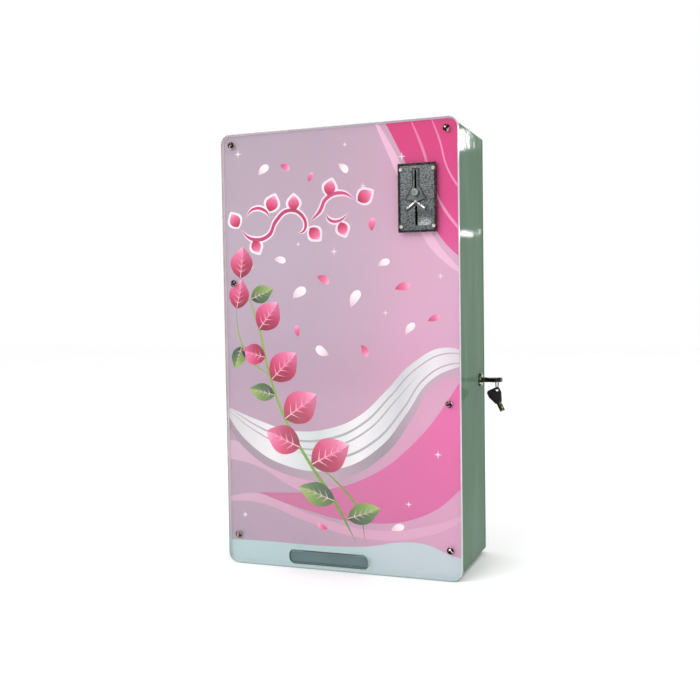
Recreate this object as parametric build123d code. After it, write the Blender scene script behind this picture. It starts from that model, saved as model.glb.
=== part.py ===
from build123d import *
import math
import os

# A wall-mounted coin vending cabinet for packed sanitary napkins. Millimetres, +Z up.
# The wall is the plane Y = 0 and the front looks along -Y, with +X to the right seen from the front.
# The origin is the centre of the four wall fixing holes, on the back of the base plate.

# Whole cabinet
machine_depth = 168.0
panel_width = 350.0
panel_height = 620.0
panel_thickness = 5.0
panel_corner_radius = 14.0
panel_overhang = 4.5
print_thickness = 0.4
cover_sheet = 1.2
cover_bend_radius = 3.0
wall_gap = 1.2

# Small clearances and overruns shared by all pieces
running_clearance = 0.05
seat_gap = 0.3
hole_clearance = 0.25
cut_overrun = 2.0

# Base plate on the wall
base_sheet = 1.5
base_rim_depth = 22.0
base_rim_clearance = 1.5
base_corner_relief = 3.0
wall_hole_side_inset = 55.0
wall_hole_end_inset = 70.0
wall_hole_radius = 3.5

# Hinge along the left edge
hinge_end_inset = 35.5
hinge_knuckle_count = 9
hinge_knuckle_radius = 3.0
hinge_knuckle_gap = 0.3
hinge_pin_radius = 1.5
hinge_pin_head_radius = 2.5
hinge_pin_head_length = 1.2
hinge_leaf_sheet = 1.0
hinge_leaf_gap = 0.4
hinge_leaf_width = 14.0
hinge_axis_from_wall = 4.5

# Panel screws and nuts
screw_radius = 2.0
screw_head_radius = 4.8
screw_head_height = 2.6
screw_nut_flats = 7.0
screw_nut_height = 3.2
screw_tail = 1.5
screw_side_inset = 16.0
screw_top_inset = 15.4
screw_bottom_inset = 41.3
screw_left_middle_z = 97.0
screw_right_middle_z = -71.0

# Coin face plate, a cast part that stands on the panel
coin_plate_width = 52.8
coin_plate_height = 91.4
coin_plate_thickness = 3.0
coin_plate_from_right = 55.8
coin_plate_from_top = 105.0
coin_border_width = 2.6
coin_border_height = 1.3
coin_path_offset_x = -1.5
coin_slot_width = 2.6
coin_slot_height = 25.0
coin_slot_from_top = 8.7
coin_collar_height = 2.2
coin_collar_top_half_width = 5.0
coin_collar_foot_half_width = 15.5
coin_collar_from_top = 6.7
coin_collar_shoulder_rise = 4.0
coin_collar_below_button = 9.3
hood_height = 4.2
hood_bar_width = 4.0
hood_apex_below_button = 9.8
hood_rise = 10.5
hood_half_width = 13.5
return_slit_width = 3.0
return_slit_below_apex = 7.5
return_slit_from_foot = 8.7
scoop_radius = 15.0
scoop_depth = 2.2
scoop_offset_x = 9.0
scoop_above_slit_foot = 12.0
coin_screw_side_inset = 4.0
coin_screw_end_inset = 7.7
coin_screw_radius = 1.5
coin_screw_head_radius = 2.7
coin_screw_head_height = 1.5
coin_screw_length = 20.0

# Reject button and its spring
button_radius = 5.0
button_below_slot = 5.2
button_proud = 3.4
button_travel = 3.0
button_flange_radius = 6.6
button_flange_thickness = 1.5
button_stem_radius = 2.2
button_stem_length = 9.0
button_edge_round = 0.8
spring_wire_radius = 0.35
spring_turns = 5
spring_radius = 3.6

# Coin mechanism behind the plate
mech_side_inset = 3.4
mech_end_inset = 1.7
mech_depth = 50.0
mech_neck_side_inset = 9.4
mech_neck_end_inset = 6.7
mech_path_width = 3.4
mech_path_depth = 44.0
mech_drop_depth = 36.0
mech_spring_pocket_depth = 10.0
mech_spring_pocket_radius = 4.4
mech_rib_width = 3.0
mech_rib_depth = 1.5
mech_rib_count = 4
mech_edge_round = 2.0
coin_switch_length = 20.0
coin_switch_width = 6.5
coin_switch_height = 10.0

# Coin chute below the mechanism, fixed to the cover
coin_chute_width = 22.0
coin_chute_depth = 20.0
coin_chute_sheet = 1.0
coin_chute_above_box = 29.5
coin_chute_strap_height = 14.0

# Lock in the right side
lock_from_wall = 34.4
lock_z = -48.2
lock_barrel_radius = 8.0
lock_barrel_length = 19.0
lock_flange_radius = 9.2
lock_flange_thickness = 4.0
lock_flange_chamfer = 1.2
lock_plug_radius = 5.5
lock_nut_flats = 22.0
lock_nut_thickness = 4.0
lock_cam_thickness = 2.0
lock_cam_width = 12.0
lock_cam_reach = 28.0
lock_square = 6.0
lock_bolt_radius = 2.0
lock_bolt_head_radius = 4.0
lock_bolt_head_height = 2.8
catch_sheet = 1.5
catch_gap = 1.8
catch_width = 15.0
catch_lip_length = 20.0
catch_foot_length = 22.0
catch_cam_clearance = 3.5

# Keys and ring
key_tube_radius = 3.7
key_tube_bore_radius = 2.5
key_tube_length = 14.0
key_in_lock = 6.0
key_slot_clearance = 0.08
key_bow_length = 21.0
key_bow_half_width = 9.7
key_bow_neck_half_width = 4.6
key_bow_thickness = 6.0
key_bow_edge_round = 1.2
key_bow_corner_round = 4.0
key_bow_wide_share = 0.55
key_hole_radius = 2.0
key_hole_offset = 5.5
key_hole_from_end = 4.4
key_lug_thickness = 2.0
key_lug_radius = 4.2
ring_radius = 8.0
ring_wire_radius = 0.8
ring_tilt = 35.0
spare_key_tilt = 25.0
spare_key_hang = 0.9

# Delivery slot and flap
slot_from_magazine = 6.3
slot_width = 122.0
slot_top_from_foot = 25.6
slot_bottom_from_foot = 4.0
slot_corner_radius = 6.0
plate_slot_top_from_foot = 24.8
plate_slot_bottom_from_foot = 6.7
flap_side_overlap = 0.5
flap_sheet = 0.8
flap_axis_behind_plate = 2.4
flap_axis_below_slot = 3.2
flap_pin_radius = 1.2
flap_knuckle_radius = 2.1
flap_knuckle_length = 22.0
flap_bottom_gap = 0.2
flap_ear_sheet = 1.5
flap_ear_height = 12.0
flap_ear_depth = 6.0
flap_ear_foot = 8.0

# Magazine column and follower weight
magazine_x = -25.8
magazine_inner_width = 104.0
magazine_inner_depth = 92.0
magazine_sheet = 1.2
magazine_from_top = 60.0
magazine_lip_width = 25.0
magazine_gate_height = 18.0
shelf_above_foot = 120.0
shelf_rim_height = 12.0
shelf_slot_width = 8.0
strap_height = 8.0
strap_sheet = 1.5
follower_clearance = 1.5
follower_height = 16.0
follower_above_shelf = 12.0
follower_handle_width = 20.0
follower_handle_reach = 18.0
follower_handle_height = 6.0
follower_round = 3.0

# Pusher under the shelf
pusher_bar_height = 6.0
pusher_bar_depth = 4.0
pusher_home_from_wall = 5.0
pusher_travel = 70.0
pusher_finger_width = 5.0
pusher_finger_height = 9.0
pusher_finger_offset = 28.0
pusher_under_shelf = 1.8

# Rack, pinion and gear motor
gear_module = 1.0
gear_pressure_angle = 20.0
gear_backlash = 0.2
gear_mesh_gap = 0.15
gear_width = 8.0
gear_clearance_share = 0.25
pinion_teeth = 28
pinion_hub_radius = 7.0
pinion_hub_length = 4.0
rack_gap_from_shelf = 3.0
rack_body_height = 5.0
rack_length = 81.0
rack_tail_teeth = 1
shaft_radius = 3.0
shaft_in_gearbox = 12.0
bracket_sheet = 1.5
bracket_gap = 1.2
bracket_reach = 112.0
bracket_height = 66.0
bracket_foot_width = 16.0
bracket_guide_gap = 0.4
gearbox_radius = 18.5
gearbox_length = 20.0
motor_radius = 17.0
motor_length = 26.0
motor_cap_radius = 12.0
motor_cap_length = 2.0
motor_terminal_length = 4.0
motor_terminal_width = 3.0
motor_terminal_sheet = 0.6
motor_screw_ring_radius = 15.0
motor_screw_radius = 1.5
motor_screw_head_radius = 2.6
motor_screw_head_height = 1.6
motor_screw_depth = 5.0
motor_screw_count = 4
switch_length = 20.0
switch_depth = 6.0
switch_height = 10.0
switch_lever_sheet = 0.4
switch_lever_gap = 0.4

# Delivery chute
chute_sheet = 1.0
chute_side_gap = 1.0
chute_front_gap = 9.2
chute_flap_gap = 1.0
chute_above_foot = 8.0
chute_slope = 26.0
chute_run = 80.2
chute_wall_above_shelf = 14.0
chute_wall_below_shelf = 16.0
chute_tall_wall_depth = 55.0

# Coin box and its shelf
box_from_motor = 2.7
box_front_gap = 19.4
box_from_wall = 8.0
box_swing_clearance = 2.2
box_height = 100.0
box_sheet = 1.2
box_bail_width = 26.0
box_bail_height = 12.0
box_bail_sheet = 3.0
box_shelf_sheet = 1.5
box_shelf_above_foot = 19.0
box_shelf_lip = 10.0
box_shelf_back_height = 40.0
box_edge_round = 4.0
box_round_share = 0.3

# Control board
board_from_side = 11.3
board_width = 66.0
board_from_top = 130.0
board_height = 110.0
board_thickness = 1.6
board_spacer_length = 8.0
board_spacer_radius = 3.0
board_hole_inset = 5.0
board_screw_radius = 1.5
board_screw_head_radius = 2.8
board_screw_head_height = 1.8

# Battery
cell_radius = 16.3
cell_length = 58.0
cell_cap_radius = 5.0
cell_cap_length = 1.5
cell_count = 4
cell_pitch = 34.0
holder_from_side = 11.3
holder_below_board = 49.0
holder_wall = 2.5
holder_floor = 3.0
holder_height = 24.0
holder_end_gap = 1.5

# Rivets that hold the inner parts to the base plate
rivet_head_radius = 3.4
rivet_head_height = 2.0
rivet_inset = 7.0

# Places worked out from the sizes above
panel_front_y = -machine_depth
panel_top_z = panel_height / 2
panel_foot_z = -panel_height / 2
print_front_y = panel_front_y + panel_thickness
plate_front_y = print_front_y + print_thickness
plate_back_y = plate_front_y + cover_sheet
cover_half_width = panel_width / 2 - panel_overhang
cover_half_height = panel_height / 2 - panel_overhang
inner_half_width = cover_half_width - cover_sheet
inner_half_height = cover_half_height - cover_sheet
base_left_x = -inner_half_width + 2 * hinge_leaf_sheet + hinge_leaf_gap
base_right_x = inner_half_width - base_rim_clearance
base_half_height = inner_half_height - base_rim_clearance
hinge_axis_x = base_left_x - hinge_knuckle_radius
hinge_axis_y = -hinge_axis_from_wall
hinge_length = 2 * (cover_half_height - hinge_end_inset)
knuckle_length = hinge_length / hinge_knuckle_count
cover_left_rear_y = hinge_axis_y - hinge_knuckle_radius - hole_clearance
wall_hole_spacing_x = panel_width - 2 * wall_hole_side_inset
wall_hole_spacing_z = panel_height - 2 * wall_hole_end_inset
coin_plate_centre_x = panel_width / 2 - coin_plate_from_right
coin_plate_centre_z = panel_top_z - coin_plate_from_top
coin_path_x = coin_plate_centre_x + coin_path_offset_x
coin_slot_centre_z = coin_plate_height / 2 - coin_slot_from_top - coin_slot_height / 2
button_centre_z = coin_slot_centre_z - coin_slot_height / 2 - button_below_slot
coin_collar_top_z = coin_plate_height / 2 - coin_collar_from_top
coin_collar_shoulder_z = coin_slot_centre_z - coin_slot_height / 2 + coin_collar_shoulder_rise
coin_collar_foot_z = button_centre_z - coin_collar_below_button
hood_apex_z = button_centre_z - hood_apex_below_button
hood_foot_z = hood_apex_z - hood_rise
return_slit_top_z = hood_apex_z - return_slit_below_apex
return_slit_bottom_z = -coin_plate_height / 2 + return_slit_from_foot
scoop_centre_z = return_slit_bottom_z + scoop_above_slit_foot
coin_screw_spacing_x = coin_plate_width - 2 * coin_screw_side_inset
coin_screw_spacing_z = coin_plate_height - 2 * coin_screw_end_inset
mech_width = coin_plate_width - 2 * mech_side_inset
mech_height = coin_plate_height - 2 * mech_end_inset
mech_neck_width = coin_plate_width - 2 * mech_neck_side_inset
mech_neck_height = coin_plate_height - 2 * mech_neck_end_inset
lock_y = -lock_from_wall
lock_back_x = cover_half_width - lock_barrel_length
slot_top_z = panel_foot_z + slot_top_from_foot
slot_bottom_z = panel_foot_z + slot_bottom_from_foot
plate_slot_top_z = panel_foot_z + plate_slot_top_from_foot
plate_slot_bottom_z = panel_foot_z + plate_slot_bottom_from_foot
magazine_top_z = panel_top_z - magazine_from_top
shelf_top_z = panel_foot_z + shelf_above_foot
shelf_bottom_z = shelf_top_z - magazine_sheet
magazine_half_width = magazine_inner_width / 2 + magazine_sheet
magazine_front_y = -base_sheet - magazine_sheet - magazine_inner_depth
shelf_front_y = magazine_front_y - magazine_sheet
shelf_half_width = magazine_half_width + magazine_sheet
pusher_top_z = shelf_bottom_z - pusher_under_shelf
pusher_bottom_z = pusher_top_z - pusher_bar_height
rack_left_x = magazine_x + shelf_half_width + rack_gap_from_shelf
rack_right_x = rack_left_x + gear_width
rack_root_z = pusher_top_z - rack_body_height
rack_tip_z = rack_root_z - (2 + gear_clearance_share) * gear_module
rack_pitch_z = rack_tip_z + gear_module
rack_rear_y = -pusher_home_from_wall
pinion_pitch_radius = gear_module * pinion_teeth / 2
pinion_z = rack_pitch_z - pinion_pitch_radius - gear_mesh_gap
tooth_pitch = math.pi * gear_module
pinion_y = rack_rear_y - pusher_travel - tooth_pitch * (rack_tail_teeth + 1)
bracket_left_x = rack_right_x + pinion_hub_length + bracket_gap
bracket_right_x = bracket_left_x + bracket_sheet
gearbox_end_x = bracket_right_x + gearbox_length
motor_end_x = gearbox_end_x + motor_length + motor_cap_length + motor_terminal_length
box_left_x = motor_end_x + box_from_motor
box_front_y = plate_back_y + box_front_gap
box_lip_y = box_front_y - seat_gap - box_shelf_sheet
swing_radius = inner_half_width - hinge_axis_x
box_swing_x = hinge_axis_x + math.sqrt(swing_radius ** 2 - (box_lip_y - hinge_axis_y) ** 2)
box_right_x = box_swing_x - box_swing_clearance
box_shelf_z = panel_foot_z + box_shelf_above_foot
box_bottom_z = box_shelf_z + box_shelf_sheet
box_top_z = box_bottom_z + box_height
coin_chute_bottom_z = box_top_z + coin_chute_above_box
board_left_x = -inner_half_width + board_from_side
board_bottom_z = panel_top_z - board_from_top - board_height
holder_left_x = -inner_half_width + holder_from_side
holder_bottom_z = board_bottom_z - holder_below_board - 2 * holder_wall - cell_count * cell_pitch
slot_centre_x = magazine_x + slot_from_magazine
flap_width = slot_width + 2 * flap_side_overlap
flap_axis_y = plate_back_y + flap_axis_behind_plate
flap_axis_z = plate_slot_top_z - flap_axis_below_slot
flap_reach = flap_axis_z - plate_slot_bottom_z - flap_bottom_gap
chute_inner_width = magazine_inner_width + 2 * chute_side_gap
chute_front_y = plate_back_y + chute_front_gap
chute_rear_y = chute_front_y + chute_run
chute_front_z = panel_foot_z + chute_above_foot
chute_wall_top_z = shelf_top_z + chute_wall_above_shelf
chute_wall_low_z = shelf_top_z - chute_wall_below_shelf
chute_rear_z = chute_front_z + chute_run * math.tan(math.radians(chute_slope))

os.makedirs("parts", exist_ok=True)


# Shapes and helpers used by more than one piece
def block(x0, x1, y0, y1, z0, z1):
    """A box between two corners."""
    middle = ((x0 + x1) / 2, (y0 + y1) / 2, (z0 + z1) / 2)
    return Pos(*middle) * Box(abs(x1 - x0), abs(y1 - y0), abs(z1 - z0))


def rod_x(x0, x1, y, z, radius):
    """A round bar along X."""
    return Pos((x0 + x1) / 2, y, z) * Rot(0, 90, 0) * Cylinder(radius, abs(x1 - x0))


def rod_y(x, y0, y1, z, radius):
    """A round bar along Y."""
    return Pos(x, (y0 + y1) / 2, z) * Rot(90, 0, 0) * Cylinder(radius, abs(y1 - y0))


def rod_z(x, y, z0, z1, radius):
    """A round bar along Z."""
    return Pos(x, y, (z0 + z1) / 2) * Cylinder(radius, abs(z1 - z0))


def slab_y(face, y0, y1):
    """A face drawn in X and Z, made solid from y0 back to y1."""
    plane = Plane(origin=(0, y0, 0), x_dir=(1, 0, 0), z_dir=(0, -1, 0))
    return extrude(plane * face, amount=-abs(y1 - y0))


def slab_x(points, x0, x1):
    """An outline of (y, z) points, made solid from x0 to x1."""
    wire = Polyline(*[(x0, y, z) for y, z in points], close=True)
    return extrude(make_face(wire), amount=abs(x1 - x0), dir=(1, 0, 0))


def hexagon_bar(axis, start, end, a, b, flats):
    """A hexagonal nut blank along X or Y; a and b are its other two places."""
    sketch = RegularPolygon(flats / 2, 6, major_radius=False, rotation=30)
    if axis == "x":
        plane = Plane(origin=(start, a, b), x_dir=(0, 1, 0), z_dir=(1, 0, 0))
    else:
        plane = Plane(origin=(a, start, b), x_dir=(1, 0, 0), z_dir=(0, 1, 0))
    return extrude(plane * sketch, amount=end - start)


def domed_head(x, y, z, radius, height):
    """A pan head that looks along -Y: a ball cap on a flat seat at y."""
    ball = (radius ** 2 + height ** 2) / (2 * height)
    cap = Pos(x, y - height + ball, z) * Sphere(ball)
    return cap & block(x - ball, x + ball, y, y - height - cut_overrun, z - ball, z + ball)


def save(shape, node):
    """Write one node to its file."""
    export_step(shape, f"parts/{node}.step")


def group(solids):
    """Several separate solids kept in one node."""
    return Compound(children=list(solids))


# Cover: a band of sheet steel round the four sides and a front plate welded into it
def screw_places():
    """The six panel screws: two at the top, two at the foot and one on each side."""
    side = panel_width / 2 - screw_side_inset
    top = panel_height / 2 - screw_top_inset
    foot = -panel_height / 2 + screw_bottom_inset
    return [
        (-side, top),
        (side, top),
        (-side, screw_left_middle_z),
        (side, screw_right_middle_z),
        (-side, foot),
        (side, foot),
    ]


def coin_screw_places():
    """The four corner screws of the coin plate."""
    half_x = coin_screw_spacing_x / 2
    half_z = coin_screw_spacing_z / 2
    places = []
    for side_x in (-1, 1):
        for side_z in (-1, 1):
            places.append((coin_plate_centre_x + side_x * half_x, coin_plate_centre_z + side_z * half_z))
    return places


def front_cutouts(y0, y1, slot_top, slot_bottom, slot_half):
    """What the panel, the print and the front plate all have cut out of them."""
    y0 -= cut_overrun
    y1 += cut_overrun
    cuts = []
    for x, z in screw_places():
        cuts.append(rod_y(x, y0, y1, z, screw_radius + hole_clearance))
    for x, z in coin_screw_places():
        cuts.append(rod_y(x, y0, y1, z, coin_screw_radius + hole_clearance))
    neck_half_width = mech_neck_width / 2 + seat_gap
    neck_half_height = mech_neck_height / 2 + seat_gap
    cuts.append(
        block(
            coin_plate_centre_x - neck_half_width,
            coin_plate_centre_x + neck_half_width,
            y0,
            y1,
            coin_plate_centre_z - neck_half_height,
            coin_plate_centre_z + neck_half_height,
        )
    )
    slot_face = Pos(slot_centre_x, (slot_top + slot_bottom) / 2) * RectangleRounded(
        2 * slot_half, slot_top - slot_bottom, min(slot_corner_radius, (slot_top - slot_bottom) / 3)
    )
    cuts.append(slab_y(slot_face, y0, y1))
    return cuts


def make_cover_wrap():
    outer = RectangleRounded(2 * cover_half_width, 2 * cover_half_height, cover_bend_radius)
    inner = RectangleRounded(2 * inner_half_width, 2 * inner_half_height, cover_bend_radius - cover_sheet)
    wrap = slab_y(outer - inner, plate_front_y, -wall_gap)
    flat_half_height = cover_half_height - cover_bend_radius
    knuckle_space = block(
        -cover_half_width - cut_overrun,
        -inner_half_width + cut_overrun,
        cover_left_rear_y,
        cut_overrun,
        -flat_half_height,
        flat_half_height,
    )
    lock_hole = rod_x(
        inner_half_width - cut_overrun,
        cover_half_width + cut_overrun,
        lock_y,
        lock_z,
        lock_barrel_radius + hole_clearance,
    )
    return wrap - knuckle_space - lock_hole


def make_front_plate():
    face = RectangleRounded(2 * inner_half_width, 2 * inner_half_height, cover_bend_radius - cover_sheet)
    plate = slab_y(face, plate_front_y, plate_back_y)
    slot_half = slot_width / 2
    for cut in front_cutouts(plate_front_y, plate_back_y, plate_slot_top_z, plate_slot_bottom_z, slot_half):
        plate -= cut
    return plate


def make_print_sheet():
    face = RectangleRounded(panel_width, panel_height, panel_corner_radius)
    sheet = slab_y(face, print_front_y, plate_front_y)
    for cut in front_cutouts(print_front_y, plate_front_y, slot_top_z, slot_bottom_z, slot_width / 2):
        sheet -= cut
    return sheet


def make_panel():
    face = RectangleRounded(panel_width, panel_height, panel_corner_radius)
    panel = slab_y(face, panel_front_y, print_front_y)
    for cut in front_cutouts(panel_front_y, print_front_y, slot_top_z, slot_bottom_z, slot_width / 2):
        panel -= cut
    return panel


# Panel screws with dome heads, and their nuts behind the front plate
def make_panel_screws():
    screws = []
    tail_y = plate_back_y + screw_nut_height + screw_tail
    for x, z in screw_places():
        head = domed_head(x, panel_front_y, z, screw_head_radius, screw_head_height)
        screws.append(head + rod_y(x, panel_front_y - screw_head_height / 2, tail_y, z, screw_radius))
    return group(screws)


def make_panel_nuts():
    nuts = []
    end_y = plate_back_y + screw_nut_height
    for x, z in screw_places():
        nut = hexagon_bar("y", plate_back_y, end_y, x, z, screw_nut_flats)
        bore = rod_y(x, plate_back_y - cut_overrun, end_y + cut_overrun, z, screw_radius + running_clearance)
        nuts.append(nut - bore)
    return group(nuts)


# Hinge: two leaves with knuckles that alternate along a pin
def knuckle_spans(own_turn):
    """The z spans of the knuckles that belong to one leaf: turn 0 is the base, turn 1 the cover."""
    spans = []
    for index in range(hinge_knuckle_count):
        if index % 2 == own_turn:
            low = -hinge_length / 2 + index * knuckle_length
            spans.append((low + hinge_knuckle_gap / 2, low + knuckle_length - hinge_knuckle_gap / 2))
    return spans


def make_hinge_leaf(x0, x1, own_turn):
    """A leaf between x0 and x1 whose tabs reach in to its own knuckles."""
    strip_start_y = cover_left_rear_y
    strip_end_y = strip_start_y - hinge_leaf_width
    tab_start_y = hinge_axis_y - hinge_pin_radius - running_clearance
    leaf = block(x0, x1, strip_start_y, strip_end_y, -hinge_length / 2, hinge_length / 2)
    for low, high in knuckle_spans(own_turn):
        tab = block(x0, x1, tab_start_y, strip_start_y, low, high)
        knuckle = rod_z(hinge_axis_x, hinge_axis_y, low, high, hinge_knuckle_radius)
        leaf += knuckle + tab
    bore = rod_z(
        hinge_axis_x,
        hinge_axis_y,
        -hinge_length / 2 - cut_overrun,
        hinge_length / 2 + cut_overrun,
        hinge_pin_radius + running_clearance,
    )
    return leaf - bore


def make_hinge_pin():
    low = -hinge_length / 2
    high = hinge_length / 2
    pin = rod_z(hinge_axis_x, hinge_axis_y, low, high, hinge_pin_radius)
    top_seat = high - hinge_knuckle_gap / 2
    foot_seat = low + hinge_knuckle_gap / 2
    head = hinge_pin_head_length
    for seat, end in ((top_seat, top_seat + head), (foot_seat - head, foot_seat)):
        pin += rod_z(hinge_axis_x, hinge_axis_y, seat, end, hinge_pin_head_radius)
    return pin


# Base plate: a tray with a rim that the cover closes over
def make_base_plate():
    plate = block(base_left_x, base_right_x, 0, -base_sheet, -base_half_height, base_half_height)
    rim_z = base_half_height
    for side in (-1, 1):
        plate += block(
            base_left_x,
            base_right_x,
            0,
            -base_rim_depth,
            side * rim_z,
            side * (rim_z - base_sheet),
        )
    plate += block(base_left_x, base_left_x + base_sheet, 0, -base_rim_depth, -rim_z, rim_z)
    plate += block(base_right_x - base_sheet, base_right_x, 0, -base_rim_depth, -rim_z, rim_z)
    for x in (base_left_x, base_right_x):
        for z in (-rim_z, rim_z):
            plate -= block(
                x - base_corner_relief,
                x + base_corner_relief,
                -base_sheet,
                -base_rim_depth - cut_overrun,
                z - base_corner_relief,
                z + base_corner_relief,
            )
    for side_x in (-1, 1):
        for side_z in (-1, 1):
            plate -= rod_y(
                side_x * wall_hole_spacing_x / 2,
                cut_overrun,
                -base_sheet - cut_overrun,
                side_z * wall_hole_spacing_z / 2,
                wall_hole_radius,
            )
    return plate


# Coin face plate
def make_coin_plate():
    x = coin_plate_centre_x
    z = coin_plate_centre_z
    path_x = coin_path_x
    seat_y = panel_front_y
    face_y = seat_y - coin_plate_thickness
    plate = slab_y(Pos(x, z) * Rectangle(coin_plate_width, coin_plate_height), face_y, seat_y)

    # Raised border
    border = Rectangle(coin_plate_width, coin_plate_height) - Rectangle(
        coin_plate_width - 2 * coin_border_width, coin_plate_height - 2 * coin_border_width
    )
    plate += slab_y(Pos(x, z) * border, face_y - coin_border_height, face_y)
    pad_radius = coin_screw_head_radius + coin_border_height
    for screw_x, screw_z in coin_screw_places():
        pad = rod_y(screw_x, face_y - coin_border_height, face_y, screw_z, pad_radius)
        plate += pad & block(
            x - coin_plate_width / 2,
            x + coin_plate_width / 2,
            seat_y,
            face_y - coin_border_height - cut_overrun,
            z - coin_plate_height / 2,
            z + coin_plate_height / 2,
        )

    # Raised collar round the coin slot, narrow at the top and flared towards the button
    collar_outline = Polyline(
        (path_x - coin_collar_top_half_width, z + coin_collar_top_z),
        (path_x + coin_collar_top_half_width, z + coin_collar_top_z),
        (path_x + coin_collar_top_half_width, z + coin_collar_shoulder_z),
        (path_x + coin_collar_foot_half_width, z + coin_collar_foot_z),
        (path_x, z + coin_collar_foot_z - coin_collar_top_half_width),
        (path_x - coin_collar_foot_half_width, z + coin_collar_foot_z),
        (path_x - coin_collar_top_half_width, z + coin_collar_shoulder_z),
        close=True,
    )
    collar = slab_y(make_face(collar_outline), face_y - coin_collar_height, face_y)
    front_edges = collar.edges().group_by(Axis.Y)[0]
    plate += chamfer(front_edges, coin_collar_height * 2 / 3)

    # Hood over the return slit: an inverted V ridge
    half = hood_half_width
    hood_outline = Polyline(
        (path_x - half, z + hood_foot_z),
        (path_x, z + hood_apex_z),
        (path_x + half, z + hood_foot_z),
        (path_x + half, z + hood_foot_z - hood_bar_width),
        (path_x, z + hood_apex_z - hood_bar_width),
        (path_x - half, z + hood_foot_z - hood_bar_width),
        close=True,
    )
    hood = slab_y(make_face(hood_outline), face_y - hood_height, face_y)
    hood_edges = hood.edges().group_by(Axis.Y)[0]
    plate += chamfer(hood_edges, hood_bar_width / 4)

    # Scoop beside the return slit, where a finger takes the coin
    ball = (scoop_radius ** 2 + scoop_depth ** 2) / (2 * scoop_depth)
    scoop = Pos(path_x + scoop_offset_x, face_y + scoop_depth - ball, z + scoop_centre_z) * Sphere(ball)
    scoop_side = block(
        path_x,
        x + coin_plate_width / 2 - coin_border_width,
        face_y - cut_overrun,
        face_y + scoop_depth,
        z + return_slit_bottom_z,
        z + hood_foot_z - hood_bar_width,
    )
    plate -= scoop & scoop_side

    # Coin slot, return slit, button bore and screw holes
    through = (seat_y + cut_overrun, face_y - hood_height - cut_overrun)
    plate -= block(
        path_x - coin_slot_width / 2,
        path_x + coin_slot_width / 2,
        *through,
        z + coin_slot_centre_z - coin_slot_height / 2,
        z + coin_slot_centre_z + coin_slot_height / 2,
    )
    plate -= block(
        path_x - return_slit_width / 2,
        path_x + return_slit_width / 2,
        *through,
        z + return_slit_bottom_z,
        z + return_slit_top_z,
    )
    plate -= rod_y(path_x, *through, z + button_centre_z, button_radius + running_clearance)
    for screw_x, screw_z in coin_screw_places():
        plate -= rod_y(screw_x, *through, screw_z, coin_screw_radius + hole_clearance)
    return plate


def make_coin_plate_screws():
    seat_y = panel_front_y - coin_plate_thickness - coin_border_height
    screws = []
    for x, z in coin_screw_places():
        head = domed_head(x, seat_y, z, coin_screw_head_radius, coin_screw_head_height)
        shank_start_y = seat_y - coin_screw_head_height / 2
        screws.append(head + rod_y(x, shank_start_y, seat_y + coin_screw_length, z, coin_screw_radius))
    return group(screws)


# Reject button: a round cap with a flange behind the plate and a stem in the spring
def make_reject_button():
    z = coin_plate_centre_z + button_centre_z
    front_y = panel_front_y - coin_plate_thickness - coin_collar_height - button_proud
    cap = rod_y(coin_path_x, front_y, panel_front_y + seat_gap, z, button_radius)
    cap = fillet(cap.edges().group_by(Axis.Y)[0], button_edge_round)
    flange_end_y = panel_front_y + seat_gap + button_flange_thickness
    flange = rod_y(coin_path_x, panel_front_y + seat_gap, flange_end_y, z, button_flange_radius)
    stem = rod_y(coin_path_x, flange_end_y, flange_end_y + button_stem_length, z, button_stem_radius)
    return cap + flange + stem


def make_reject_spring():
    z = coin_plate_centre_z + button_centre_z
    start_y = panel_front_y + seat_gap + button_flange_thickness + spring_wire_radius + running_clearance
    end_y = panel_front_y + mech_spring_pocket_depth - spring_wire_radius - running_clearance
    length = end_y - start_y
    coil = Helix(length / spring_turns, length, spring_radius)
    start_point = coil @ 0
    start_plane = Plane(origin=start_point, z_dir=coil % 0)
    spring = sweep(start_plane * Circle(spring_wire_radius), path=coil)
    return Pos(coin_path_x, start_y, z) * Rot(-90, 0, 0) * spring


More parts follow.
